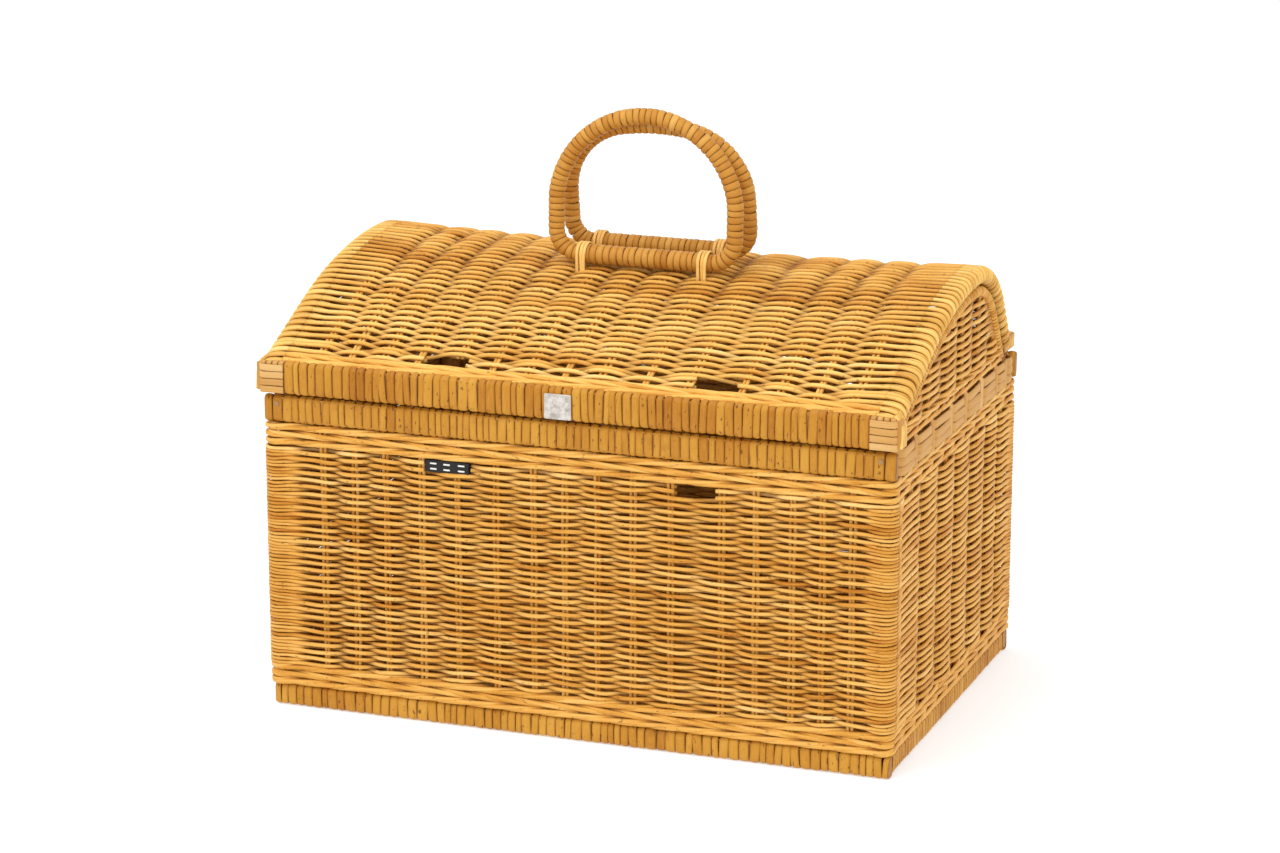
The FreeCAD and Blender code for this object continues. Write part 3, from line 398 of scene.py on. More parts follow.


# painted shade of the weave: darker where a strand dives inward behind a stake and where it crosses the stake line,
# standing also for varnish pooled in these hollows
PAINTED_WEAVE_SHADE = lambda w: .42 * (1 - np.abs(w)) ** 1.4 + .42 * smooth((.25 - w) / .9)
SIDE = {"front": (ST[0], ST[3], ST[1], ST[2]), "right": (ST[3], ST[4], ST[3], ST[4]),
        "rear": (ST[4], ST[7], ST[5], ST[6]), "left": (ST[7], ST[8], ST[7], ST[8])}
Z_FIELD = waves(3, .045, .10)
Z_FINE = waves(4, .16, 1.3)
O_FIELD = waves(5, .12, 1.7)
TONE_S = waves(6, .02, 1.1)
ROWS, PITCH, Z0 = 64, 2.6, 35.3


def wall_rows(pile, side, rows, s0=None, s1=None, step=3.3, amp=2.6, ru=1.34, rv=1.36, z_of=None, seed=0, thick=.12):
    a, b, pa, pb = SIDE[side]
    s0, s1 = a if s0 is None else s0, b if s1 is None else s1
    K = max(4, int(round((s1 - s0) / step)))
    r = np.asarray(rows, float)[:, None]
    s = np.broadcast_to(np.linspace(s0, s1, K), (len(rows), K))
    st = S_STAKES[side]
    cs = np.concatenate([[a - 1], [pa], st, [pb], [b + 1]])
    if pa - a < 1:
        cs = np.concatenate([[pa - 1], st, [pb + 1]])
    w = np.zeros(s.shape)
    for par in (0, 1):
        sg = np.where((np.arange(len(st)) + par) % 2 == 0, 1., -1.)
        vs = np.concatenate([[1, 1], sg, [1, 1]]) if pa - a > 1 else np.concatenate([[1], sg, [1]])
        m = (np.asarray(rows) % 2 == par)
        jit = 1.2 * O_FIELD(s[m] * .4, r[m] * 2.1)
        w[m] = weave(s[m] + jit, cs, vs)
    z = (Z0 + PITCH * r if z_of is None else z_of(r)) + 0 * s
    z = z + .5 * Z_FIELD(s, z) + .16 * Z_FINE(s, r)
    off = 4. - amp * w - .1 * np.abs(O_FIELD(s, r))
    x, y, nx, ny = outline(s, off)
    P = np.stack([x, y, z], -1)
    N = np.stack([nx, ny, 0 * nx], -1)
    tone = .5 + .07 * TONE_S(s, r) + .06 * np.random.default_rng(77).normal(size=200)[np.asarray(rows)][:, None]
    rad = 1 + .05 * TONE_S(r * 3., r)
    # painted shade: strands are a little darker where they turn a corner, and on the front the painted shade is
    # stronger towards its left end
    turn = smooth(1 - (np.minimum(s - pa, pb - s) - 3) / 9.)
    front_left_shade_boost = 1 + .45 * smooth((190 - s) / 100.) * (side == "front")
    wide = (rv + thick * np.abs(w) ** 1.4) * (1 - turn) + (1.24 if side == "front" else 1.38) * turn
    pile.tubes(P, N, ru * rad, wide * rad, tone - .03 * turn, painted_shade_and_joints=np.clip(np.maximum(PAINTED_WEAVE_SHADE(w) * front_left_shade_boost, .12 * turn), 0, 1), seed=(np.asarray(rows) * .618 + .13 * seed) % 1, along0=s0)


def stakes(pile, ss, z0, z1, depth=4., r=1.38, gap=1.42, seed=0, step=5., cuts=None):
    """Pairs of upright rods. z1 may be one number or one per stake."""
    z1 = np.broadcast_to(z1, np.shape(ss))
    for i, s in enumerate(ss):
        K = max(3, int((z1[i] - z0) / step))
        z = np.linspace(z0, z1[i], K)
        spans = [(z0, z1[i])]
        if cuts and i in cuts:
            spans = [(z0, cuts[i][0]), (cuts[i][1], z1[i])]
        for lo, hi in spans:
            zz = np.linspace(lo, hi, max(3, int((hi - lo) / step)))
            P, N = [], []
            for j in (-1, 1):
                wob = .35 * np.sin(zz / 17. + 3.1 * i + j) + .2 * np.sin(zz / 6.1 + 5.3 * i - j)
                x, y, nx, ny = outline(s + j * gap + wob, depth + .15 * np.sin(zz / 9. + i))
                P.append(np.stack([x, y, zz], -1))
                N.append(np.stack([nx, ny, 0 * nx], -1))
            rr = np.random.default_rng(500 + 31 * i + seed)
            # the stakes stand behind the weavers and carry a constant painted shade
            pile.tubes(np.array(P), np.array(N), r, r, .5 + .12 * rr.normal(size=2), painted_shade_and_joints=np.full(2, .28), seed=rr.random(2))


def wale(pile, s0, s1, zc, P=83.2, depth=4., A=2.5, B=1.35, hand=1, ru=1.38, rv=1.72, ph=0., rods=3, closed=False, seed=0, mapper=None,
         step=3.6, drop=.35):
    """One round of waling: rods twined with a long front stroke."""
    K = int((s1 - s0) / step)
    s = np.linspace(s0, s1, K, endpoint=not closed)
    j = np.arange(rods)[:, None]
    th = 2 * PI * (s[None] / P + j / rods) + ph
    th = th + .25 * np.sin(s[None] / 31. + j) * (0 if closed else 1)
    te = th - .5 * np.sin(th)
    c, sn = np.cos(te), np.sin(te)
    off = depth - A * c
    z = zc + hand * B * sn + .3 * Z_FIELD(s[None] + 0 * j, zc + 0 * s[None]) * (0 if closed else 1)
    tone = .5 + .08 * TONE_S(s[None] * (0 if closed else 1) + 40 * j, zc + 7. * j)
    if mapper is None:
        x, y, nx, ny = outline(s[None] + 0 * z, off)
        Pn, N = np.stack([x, y, z], -1), np.stack([nx, ny, 0 * nx], -1)
    else:
        Pn, N = mapper(s[None] + 0 * z, z, off)
    # painted shade where a rod dives inward
    pile.tubes(Pn, N, ru, rv, tone, painted_shade_and_joints=.75 * (.5 - .5 * c) ** 1.5, seed=(np.arange(rods) * .37 + seed) % 1, close_k=closed)


# ---------------------------------------------------------------- trunk walls
SLOT_ROWS = [61, 62, 63]
p = Pile()
wall_rows(p, "front", range(61))
p.build("front_weave_weavers", M_WEAVE, "trunk", ["front_weave"])
p = Pile()
fx = lambda x: ST[1] + CX0 + x
for a, b in ((ST[0], fx(-114)), (fx(-78), fx(78)), (fx(109), ST[3])):
    wall_rows(p, "front", SLOT_ROWS, a, b)
p.build("front_slot_weavers", M_WEAVE, "trunk", ["front_slot_rows"])
p = Pile()
wall_rows(p, "rear", range(64), seed=1, rv=1.74, thick=.8, ru=1.8, amp=2.1)
p.build("rear_weave_weavers", M_WEAVE, "trunk", ["rear_weave"])
for side in ("right", "left"):
    p = Pile()
    if side == "right":
        wall_rows(p, side, range(64), seed=2, thick=.5, rv=1.4, amp=2.9)
    else:
        wall_rows(p, side, range(64), seed=2, rv=1.8, thick=.85, ru=1.8, amp=2.1)
    p.build(side + "_end_weavers", M_WEAVE, "trunk", [side + "_end_weave"])

p = Pile()
stakes(p, S_STAKES["front"], 18, 217.5, cuts={4: (190.5, 202.5)})
p.build("front_stakes", M_WEAVE, "trunk")
p = Pile()
stakes(p, S_STAKES["rear"], 18, 217.5, seed=5)
p.build("rear_stakes", M_WEAVE, "trunk")
for side in ("right", "left"):
    p = Pile()
    stakes(p, S_STAKES[side], 18, 218.5, seed=9)
    p.build(side + "_stakes", M_WEAVE, "trunk")

PW = PERIM / 19
for name, z0, nodes_ in (("lower_wale", 17., ["lower_wale"]), ("upper_wale", 201., ["upper_wale"])):
    p = Pile()
    for k in range(3):
        wale(p, 0, PERIM, z0 + 2.85 + 5.65 * k, P=PW, hand=1 if k != 1 else -1, rv=1.72 if z0 > 100 else 1.95, ph=1.9 * k + z0, closed=True, seed=.21 * k + .4)
    if z0 < 100:
        # the inner rods that the rounds are turned over
        sq = np.linspace(0, PERIM, 300, endpoint=False)
        x, y, nx, ny = outline(np.tile(sq, (3, 1)), 6.1)
        zq = np.array([z0 + .6, z0 + 5.7, z0 + 11.3])[:, None] + .2 * np.sin(sq * 2 * PI * 9 / PERIM)
        # the inner rods carry a constant painted shade
        p.tubes(np.stack([x, y, zq], -1), np.stack([nx, ny, 0 * nx], -1), 1.25, 1.9, .4, painted_shade_and_joints=[.35] * 3, seed=[.1, .5, .8], close_k=True)
    p.build(name + "_rods", M_WEAVE, "trunk", nodes_)

# ---------------------------------------------------------------- bound rails
SEC = np.array([(-1, -1), (-.99, -.58), (-.87, -.31), (-.58, -.1), (0, .06), (.58, -.1), (.87, -.31), (.99, -.58), (1, -1), (0, -1.05)], float)


def loop_rect(a0, a1, b0, b1, rad, n=5):
    """Rounded rectangle in a plane: points and outward directions."""
    pts, nor = [], []
    for cx, cy, q in ((a1 - rad, b0 + rad, -PI / 2), (a1 - rad, b1 - rad, 0), (a0 + rad, b1 - rad, PI / 2), (a0 + rad, b0 + rad, PI)):
        for t in np.linspace(0, PI / 2, n):
            c, s = math.cos(q + t), math.sin(q + t)
            pts.append((cx + rad * c, cy + rad * s))
            nor.append((c, s))
    P, N = np.array(pts), np.array(nor)
    # a middle point on each flat
    Q, M = [], []
    for i in range(len(P)):
        Q.append(P[i])
        M.append(N[i])
        if i % n == n - 1:
            j = (i + 1) % len(P)
            for f in (.25, .5, .75):
                Q.append(P[i] * (1 - f) + P[j] * f)
                M.append(N[i])
    return np.array(Q), np.array(M)


def widths(total, mean, spread, seed, lo=.72):
    r = np.random.default_rng(seed)
    n = max(1, int(round(total / mean)))
    w = np.clip(r.normal(1, spread, n), lo, 1.45)
    w *= total / w.sum()
    c = np.cumsum(w) - w / 2
    return c, w, r


def bound_rail(pile, axis, lo, hi, a0, a1, b0, b1, mean=6., spread=.19, seed=0, thick=1.6, rad=2.4, lean=.42, base_tone=.52, skip=()):
    """Straps wound round a bar along X or Y. a is the other level axis, b is Z."""
    c, w, r = widths(hi - lo, mean, spread, seed)
    Q, Nn = loop_rect(a0, a1, b0, b1, rad)
    M, K, S = len(c), len(Q), len(SEC)
    ang = np.linspace(0, 2 * PI, K, endpoint=False)
    lift = .42 * r.random(M)[:, None] - .26
    slant = r.normal(0, lean, M)[:, None] * np.cos(ang + r.uniform(-.5, .5, M)[:, None]) + .10 * r.normal(size=(M, 1)) * np.sin(2 * ang)
    u = SEC[:, 0][None, None] * (w[:, None, None] / 2 - .05) + (lo + c)[:, None, None] + slant[:, :, None]
    v = np.where(SEC[:, 1] > -.9, SEC[:, 1] * thick + 0., SEC[:, 1] * thick)[None, None] + lift[:, :, None] * (SEC[:, 1] > -.9)
    A = Q[:, 0][None, :, None] + Nn[:, 0][None, :, None] * v
    Bz = Q[:, 1][None, :, None] + Nn[:, 1][None, :, None] * v
    V = np.stack([u + 0 * A, A, Bz] if axis == 0 else [A, u + 0 * A, Bz], -1)
    per = np.concatenate([[0], np.cumsum(np.linalg.norm(np.diff(Q, axis=0), axis=1))])
    tone = base_tone + .06 * r.normal(size=M) + .07 * np.sin((lo + c) / 19. + seed)
    edge = np.clip(-SEC[:, 1] * 1.5 - .12, 0, 1)
    pile.grid(V, tone[:, None, None], per[None, :, None], (SEC[:, 0] * 3)[None, None], edge[None, None], r.random(M)[:, None, None], close_k=True)
    # the two ends, closed flat, a little darker in tone and half-darkened with painted shade
    A, Bz = Q[:, 0] - .5 * Nn[:, 0], Q[:, 1] - .5 * Nn[:, 1]
    ca, cb = A.mean(), Bz.mean()
    k = np.array([1, 1, 1, 1, .85])[:, None]
    for u0 in (lo + np.array([3., 2., 1., .2, .2]), hi - np.array([3., 2., 1., .2, .2])):
        A2, Z2 = ca + k * (A - ca), cb + k * (Bz - cb)
        u = u0[:, None] + 0 * A2
        pile.grid(np.stack([u, A2, Z2] if axis == 0 else [A2, u, Z2], -1)[None], base_tone - .05, np.array([0., 1., 2., 3., 4.])[None, :, None],
                  np.linspace(-3, 3, len(A))[None, None], .5, .5, caps=True)


def mm_box(n):
    a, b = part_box(n)
    return [x * 1000 for x in a], [x * 1000 for x in b]


def rail_from(nodes_, name, axis, body, mean, seed, rad=4.2, **kw):
    lo, hi = mm_box(nodes_)
    p = Pile()
    o = 1 - axis
    bound_rail(p, axis, lo[axis], hi[axis], lo[o], hi[o], lo[2], hi[2], mean=mean, seed=seed, rad=rad, **kw)
    return p.build(name, M_RAIL, body, [nodes_])


rail_from("rim_wrap_front", "rim_front_cane", 0, "trunk", 6.3, 11, base_tone=.47)
rail_from("rim_wrap_rear", "rim_rear_cane", 0, "trunk", 6.3, 12)
rail_from("lid_wrap_front", "lid_front_cane", 0, "lid", 6.1, 13, base_tone=.4)
rail_from("lid_wrap_rear", "lid_rear_cane", 0, "lid", 6.1, 14)
for i, s in enumerate(("front", "rear")):
    rail_from("base_wrap_" + s, "base_%s_cane" % s, 0, "trunk", 6.6, 15 + i)
for i, s in enumerate(("left", "right")):
    rail_from("base_wrap_" + s, "base_%s_cane" % s, 1, "trunk", 6.6, 17 + i)

# ---------------------------------------------------------------- the lid's profile
AF, RF, AR, RR, YC, ZC = math.radians(24.5), 341., math.radians(58.), 80., 47., 326.51
YF, ZF = YC - RF * math.sin(AF), ZC - RF * (1 - math.cos(AF))
YR, ZR = YC + RR * math.sin(AR), ZC - RR * (1 - math.cos(AR))
L1, B1, B2, L2 = (162 + YF) / math.cos(AF), RF * AF, RR * AR, (ZR - 252.5) / math.sin(AR)
LT = L1 + B1 + B2 + L2


def dome(t, off):
    """(y, z) at arc length t from the front eave, a depth inside the outer face, and the outward direction."""
    t = np.asarray(t, float)
    a1 = AF - np.clip(t - L1, 0, B1) / RF
    a2 = -np.clip(t - L1 - B1, 0, B2) / RR
    fr = t <= L1 + B1
    a = np.where(fr, a1, a2)
    rad = np.where(fr, RF, RR)
    ny, nz = -np.sin(a), np.cos(a)
    run = np.where(fr, np.minimum(t - L1, 0), np.maximum(t - L1 - B1 - B2, 0))
    y = YC + rad * ny + run * nz
    z = ZC - rad + rad * nz - run * ny
    return y - ny * off, z - nz * off, ny, nz


def on_lid(x, t, off, sag=True):
    y, z, ny, nz = dome(t, off)
    if sag:
        u = (t - 24.) / (LT - 24.)
        z = z - 3.5 * np.clip(1 - (x / 226.) ** 2, 0, 1) * smooth(u / .3) * smooth((1 - u) / .28)
    return np.stack([x + 0 * y, y + 0 * x, z + 0 * x], -1), np.stack([0 * x + 0 * ny, ny + 0 * x, nz + 0 * x], -1)


# ---------------------------------------------------------------- splint bands and arches
_y, _z, _, _ = dome(np.linspace(-30, LT + 30, 900), 21.)
_k = int(np.argmax(_z))


def arch_span(z):
    """Front and rear ends of the arched weave at a height."""
    return max(float(np.interp(z, _z[:_k], _y[:_k])), -153.4), float(np.interp(z, _z[_k:][::-1], _y[_k:][::-1]))


def arch_top(y):
    return np.interp(y, _y, _z)


SOFT = np.array([(-1, -.6), (-1, -.2), (-.8, .2), (-.4, .44), (0, .5), (.4, .44), (.8, .2), (1, -.2), (1, -.6), (0, -.6)], float)
FLAT = np.array([(-1, -.6), (-1, .1), (-.9, .45), (-.6, .5), (0, .5), (.6, .5), (.9, .45), (1, .1), (1, -.6), (0, -.6)], float)


def strap(pile, P, N, width, thick, tone, seed, painted_shade_and_joints=0., sec=FLAT, caps=True):
    """A flat strap. P (M, K, 3), N outward, width across, thick along N."""
    P = np.asarray(P, float)
    N = np.broadcast_to(np.asarray(N, float), P.shape)
    T = unit(np.gradient(P, axis=1))
    B = unit(np.cross(T, N))
    N2 = np.cross(B, T)
    M, K, _ = P.shape
    width = np.broadcast_to(width, (M, K))[..., None, None]
    V = P[:, :, None] + N2[:, :, None] * (sec[:, 1] * thick)[None, None, :, None] + B[:, :, None] * (sec[:, 0])[None, None, :, None] * width / 2
    st = np.linalg.norm(np.diff(P, axis=1), axis=2)
    along = np.concatenate([np.zeros((M, 1)), np.cumsum(st, 1)], 1)[..., None]
    edge = (.6 if sec is FLAT else .35) * (np.abs(sec[:, 0]) > .95)
    pile.grid(V, np.asarray(tone, float).reshape(M, -1, 1), along, (sec[:, 0] * 3)[None, None], np.maximum(edge[None, None], np.asarray(painted_shade_and_joints).reshape(-1, 1, 1) if np.ndim(painted_shade_and_joints) else painted_shade_and_joints),
              np.asarray(seed, float).reshape(M, 1, 1), False, caps)


for side, sx in (("right", 1), ("left", -1)):
    r = np.random.default_rng(61 + sx)
    p = Pile()
    # three level splints, in behind the bars and out between them
    ys = np.linspace(-153.6, 153.6, 190)
    bars = np.concatenate([[-150], Y_STAKES, [150]])
    mid = np.sort(np.concatenate([bars, bars[1:] - 8., bars[:-1] + 8.]))
    val = np.array([-.8 if i % 3 == 0 else 1. for i in range(len(mid))])
    w = weave(ys, mid, val, .0)
    P = []
    for k in range(3):
        z = 221.7 + 6.55 * k + .35 * np.sin(ys / 23. + 2 * k)
        dd = 2.6 - 3.1 * w + .3 * np.sin(ys / 9. + 4 * k) - .7 * (k == 1)
        P.append(np.stack([sx * (240 - dd), ys, z], -1))
    strap(p, P, (sx, 0, 0), 6.7, 1.3, .6 + .07 * r.normal(size=3), r.random(3), sec=SOFT)
    # upright flat bars in pairs
    for y0 in bars[1:-1]:
        for j in (-1, 1):
            z = np.linspace(214.5, 242.5 if y0 < 112 else 238.2, 14)
            m = np.sin(PI * (z - 214.5) / 28.)
            yy = y0 + j * 2.0 + .3 * np.sin(z / 5. + y0)
            P = np.stack([sx * (240 - 3.6 + 2.9 * smooth(m * 2.2)), yy - j * .5, z], -1)
            # a faint painted shade on the bars
            p.tubes(P[None], (sx, 0, 0), 1.35, 1.5, [.62 + .1 * r.normal()], painted_shade_and_joints=[.05], seed=[r.random()])
    # inner upright strips
    for y0 in (bars[1:] + bars[:-1]) / 2:
        z = np.linspace(214.5, 242.5 if y0 < 112 else 238.2, 8)
        for j in (-10., 0., 10.):
            P = np.stack([sx * (240 - 5.8 + 0 * z), y0 + j + 0 * z, z], -1)
            strap(p, P[None], (sx, 0, 0), 9.6, 1.2, [.45], [r.random()])
    p.build(side + "_splint_weave", M_SPLINT, "trunk", [side + "_splint_band"])

    # arch: a wale of two rounds, then plain rows
    p = Pile()
    st = S_STAKES[side]
    base_s = S_RIGHT if sx > 0 else S_LEFT
    y_to_s = lambda y: base_s + (y + CY0 if sx > 0 else CY0 - y)
    for k, zc in enumerate((241.6, 246.6)):
        lo_y, hi_y = arch_span(zc)

        def mapper(s, z, off, sx=sx):
            return np.stack([sx * (240 - off), s, z], -1), np.broadcast_to(np.array([sx, 0., 0.]), s.shape + (3,))
        wale(p, lo_y + 1.6, hi_y - 1.6, zc, P=74., hand=1 if k == 0 else -1, ph=1.3 * k, B=1.1, ru=1.32, rv=1.66, seed=.3 * k, mapper=mapper, rods=3)
    zs = np.arange(250.6, 304.6, 2.9)
    ysx = np.array(Y_STAKES)
    for i, z0 in enumerate(zs):
        ya, yb = arch_span(z0)
        ya, yb = ya + 1.6, yb - 1.6
        if yb - ya < 24:
            continue
        K = max(8, int((yb - ya) / 3.3))
        y = np.linspace(ya, yb, K)
        sg = np.where((np.arange(len(ysx)) + i) % 2 == 0, 1., -1.)
        inside = (ysx > ya + 3) & (ysx < yb - 3)
        cs = np.concatenate([[ya - .5], ysx[inside], [yb + .5]])
        vs = np.concatenate([[.0], sg[inside], [.0]])
        w = weave(y + 1.1 * np.sin(y / 13. + i * 2.1), cs, vs, .1)
        z = z0 + .45 * Z_FIELD(y + base_s, z0 + 0 * y) + .15 * Z_FINE(y, i + 0 * y)
        P = np.stack([sx * (240 - 4 + 2.55 * w), y, z], -1)
        fat = (1.36, 1.5, .38) if sx > 0 else (1.8, 1.95, .95)
        p.tubes(P[None], (sx, 0, 0), fat[0], (fat[1] + fat[2] * np.abs(w))[None], (.5 + .08 * TONE_S(y, i * 3. + 0 * y))[None], painted_shade_and_joints=PAINTED_WEAVE_SHADE(w)[None], seed=[(i * .618) % 1])
    # uprights
    tops = arch_top(ysx)
    for i, y0 in enumerate(ysx):
        if tops[i] < 246:
            continue
        for j in (-1, 1):
            z = np.linspace(239, float(tops[i]) - 1.2, 12)
            yy = y0 + j * 1.42 + .3 * np.sin(z / 7. + i + j)
            P = np.stack([sx * (236 + 0 * z), yy, z], -1)
            # the uprights carry a constant painted shade
            p.tubes(P[None], (sx, 0, 0), 1.36, 1.36, [.5 + .1 * r.normal()], painted_shade_and_joints=[.25], seed=[r.random()])
    p.build(side + "_arch_weavers", M_WEAVE, "trunk", [side + "_arch_weave"])

LX = np.array([-201, -176, -151, -124, -95, -66, -38, -10, 17, 51, 83, 122, 150, 177, 205], float)
L_FIELD = waves(21, .03, .05)
L_FINE = waves(22, .12, 1.4)
L_TONE = waves(23, .018, 1.3)
LROWS = 85
LT_ROWS = np.linspace(25.9, LT - 1.6, LROWS)
LPITCH = LT_ROWS[1] - LT_ROWS[0]


def lid_w(x, rows):
    cs = np.concatenate([[-227], LX, [227]])
    w = np.zeros(x.shape)
    r = np.asarray(rows)
    for par in (0, 1):
        sg = np.where((np.arange(len(LX)) + par) % 2 == 0, 1., -1.)
        e = 1. if par == 0 else .2
        vs = np.concatenate([[e], sg, [e]])
        m = r % 2 == par
        w[m] = weave(x[m] + 1.2 * O_FIELD(x[m] * .4, r[m][:, None] * 1.9) * (np.abs(x[m]) < 215), cs, vs, .10)
    return w


def lid_rows(pile, rows, x0, x1, t_rows, step=3.4):
    K = max(4, int((x1 - x0) / step))
    x = np.broadcast_to(np.linspace(x0, x1, K), (len(rows), K))
    r = np.asarray(rows, float)[:, None]
    w = lid_w(x, rows)
    edge = smooth((227 - np.abs(x)) / 26)
    t = np.asarray(t_rows)[:, None] + 0 * x
    t = t + edge * (.85 * L_FIELD(x, t) + .2 * L_FINE(x, r))
    gape = smooth((34. - t) / 8.) * (t > 24.) * (np.exp(-((x + 103) / 19.) ** 4) + np.exp(-((x - 103) / 18.) ** 4))
    t = t + 1.5 * gape
    off = 4. - 2.55 * w
    P, N = on_lid(x, t, off)
    tone = .5 + .08 * L_TONE(x, r) + .06 * np.random.default_rng(78).normal(size=200)[np.asarray(rows)][:, None]
    # the rows are darker in tone towards the lid's top and rear, and there the painted shade in the recesses is
    # stronger
    high = smooth((t - 70) / 90.)
    tone = tone + .08 - .2 * high
    pile.tubes(P, N, 1.44, 1.66 + .16 * np.abs(w) ** 1.4 + .9 * smooth((t - 215) / 30.) * (1 + .8 * smooth((np.abs(x) - 198) / 14.)), tone, painted_shade_and_joints=np.minimum((1.05 + .55 * high) * PAINTED_WEAVE_SHADE(w) + .05 * high, 1.), seed=(r[:, 0] * .618) % 1, along0=x0)


half = LROWS // 2
for nm, rr in (("front", range(0, half)), ("rear", range(half, LROWS))):
    p = Pile()
    rr = np.array(list(rr))
    lid_rows(p, rr, -226, 226, LT_ROWS[rr])
    p.build("lid_%s_weavers" % nm, M_LID, "lid", ["lid_weave"])
p = Pile()
t_slot = np.array([15.6, 19.0, 22.5])
for a, b in ((-226, -120), (-86, 87), (119, 226)):
    lid_rows(p, np.array([98, 99, 100]), a, b, t_slot)
p.build("lid_slot_weavers", M_LID, "lid", ["lid_slot_rows"])

# uprights of the lid
p = Pile()
for i, x0 in enumerate(LX):
    t0 = 1.5 if i != 4 else 25.5
    for j in (-1, 1):
        t = np.linspace(t0, LT - 1.5, 90)
        x = x0 + j * 1.5 + .4 * np.sin(t / 21. + 3 * i + j) + .2 * np.sin(t / 7. + i)
        P, N = on_lid(x, t, 4.0 + 0 * t)
        rr = np.random.default_rng(900 + 7 * i + j)
        # the uprights carry a constant painted shade
        p.tubes(P[None], N[None], 1.4, 1.46, [.5 + .1 * rr.normal()], painted_shade_and_joints=[.25], seed=[rr.random()])
p.build("lid_stakes", M_LID, "lid")

# front wale of the lid, two rounds that make a braid
p = Pile()


def lid_map(s, z, off):
    return on_lid(s, z, off)


for k, tc in enumerate((3.7, 9.9)):
    wale(p, -226, 226, tc, P=96., depth=3.9, A=2.3, B=2.1, hand=-1 if k else 1, ru=1.55, rv=1.95, ph=.8 * k, mapper=lid_map, seed=.4 * k, rods=4)
p.build("lid_front_wale_rods", M_LID, "lid", ["lid_front_wale"])

# rolled edges: every weaver turns over the edge rod
for side, sx in (("left", -1), ("right", 1)):
    p = Pile()
    tr = np.concatenate([[1.9, 5.6, 9.2, 12.6], t_slot, LT_ROWS])
    idx = np.concatenate([[94, 95, 96, 97], [98, 99, 100], np.arange(LROWS)])
    r = idx.astype(float)[:, None]
    M = len(tr)
    o = 1.4 + np.where(r % 2 == 0, .0, 1.3)
    ang = np.radians(np.linspace(90, -158, 16))[None]
    flat_x = np.linspace(225.5, 235, 5)[None]
    xr = np.concatenate([flat_x + 0 * r, 236 + (7 - o) * np.cos(ang)], 1)
    of = np.concatenate([o + (3.49 - o) * (r % 2) * smooth((234 - flat_x) / 8.5) + (1.45 - o) * (1 - r % 2) * (flat_x < 226), 7 - (7 - o) * np.sin(ang)], 1)
    q = smooth((xr - 227) / 16) * 1.
    rg = np.random.default_rng(300 + sx)
    t = tr[:, None] + q * rg.normal(0, .3, (M, 1)) - 3.2 * q
    t = np.clip(t, .4, LT - .4)
    P, N = on_lid(xr, t, of, sag=False)
    P[..., 0] *= sx
    # outward direction turns round the rod
    cx, co = 236., 7.
    dx, do = (xr - cx), (co - of)
    nflat = (xr < 235.5)[..., None]
    yn, zn, ny, nz = dome(t, 0 * t)
    Nr = np.stack([sx * dx, ny * do, nz * do], -1)
    N = np.where(nflat & (do[..., None] > 0), N, unit(Nr))
    # painted shade: the odd rows, which sit deeper, are darker in tone and darkened on the flat, and every strand
    # darkens as it turns under the rod
    tone = .52 + .06 * L_TONE(sx * xr * 3, r) + .07 * rg.normal(size=(M, 1)) - .06 * (r % 2)
    painted_shade_and_joints = np.clip(-np.sin(np.concatenate([np.full((1, 5), 1.5), ang], 1)) * .5 + .0, 0, 1) + 0 * xr
    p.tubes(P, N, 1.42, np.where(r % 2 == 0, 1.78, 1.5) + 0 * xr, tone, painted_shade_and_joints=np.maximum(painted_shade_and_joints, (.18 + .34 * smooth((233 - xr) / 6.)) * (r % 2)), seed=(idx * .618) % 1)
    # a few long strokes down the end of the corner block
    for k in range(6):
        q = np.linspace(0, 1, 14)
        y = -163.2 + 1.95 * k + 1.2 * np.sin(PI * q)
        z = 266. + .2 * k - (23. + .2 * k) * q
        x = 239.4 + 4.6 * np.sin(PI * np.minimum(q * .9, .5)) - .25 * (k % 2)
        # a faint painted shade, more on every other stroke
        p.tubes(np.stack([sx * x, y, z], -1)[None], (sx, 0, 0), 1.25, 1.35, [.5 + .08 * rg.normal()], painted_shade_and_joints=[.05 + .1 * (k % 2)], seed=[rg.random()])
    for k in range(4):
        zz = np.linspace(250.5 - 2 * k, 243, 8)
        y = 158.5 - 2.9 * k + .6 * np.sin((zz - 243) / 8.)
        # a faint painted shade
        p.tubes(np.stack([sx * 236.4 + 0 * zz, y, zz], -1)[None], (sx, 0, 0), 1.0, 1.5, [.5 + .1 * rg.normal()], painted_shade_and_joints=[.1], seed=[rg.random()])
    p.build("lid_%s_roll_weavers" % side, M_ROLL, "lid", ["lid_edge_roll_" + side])

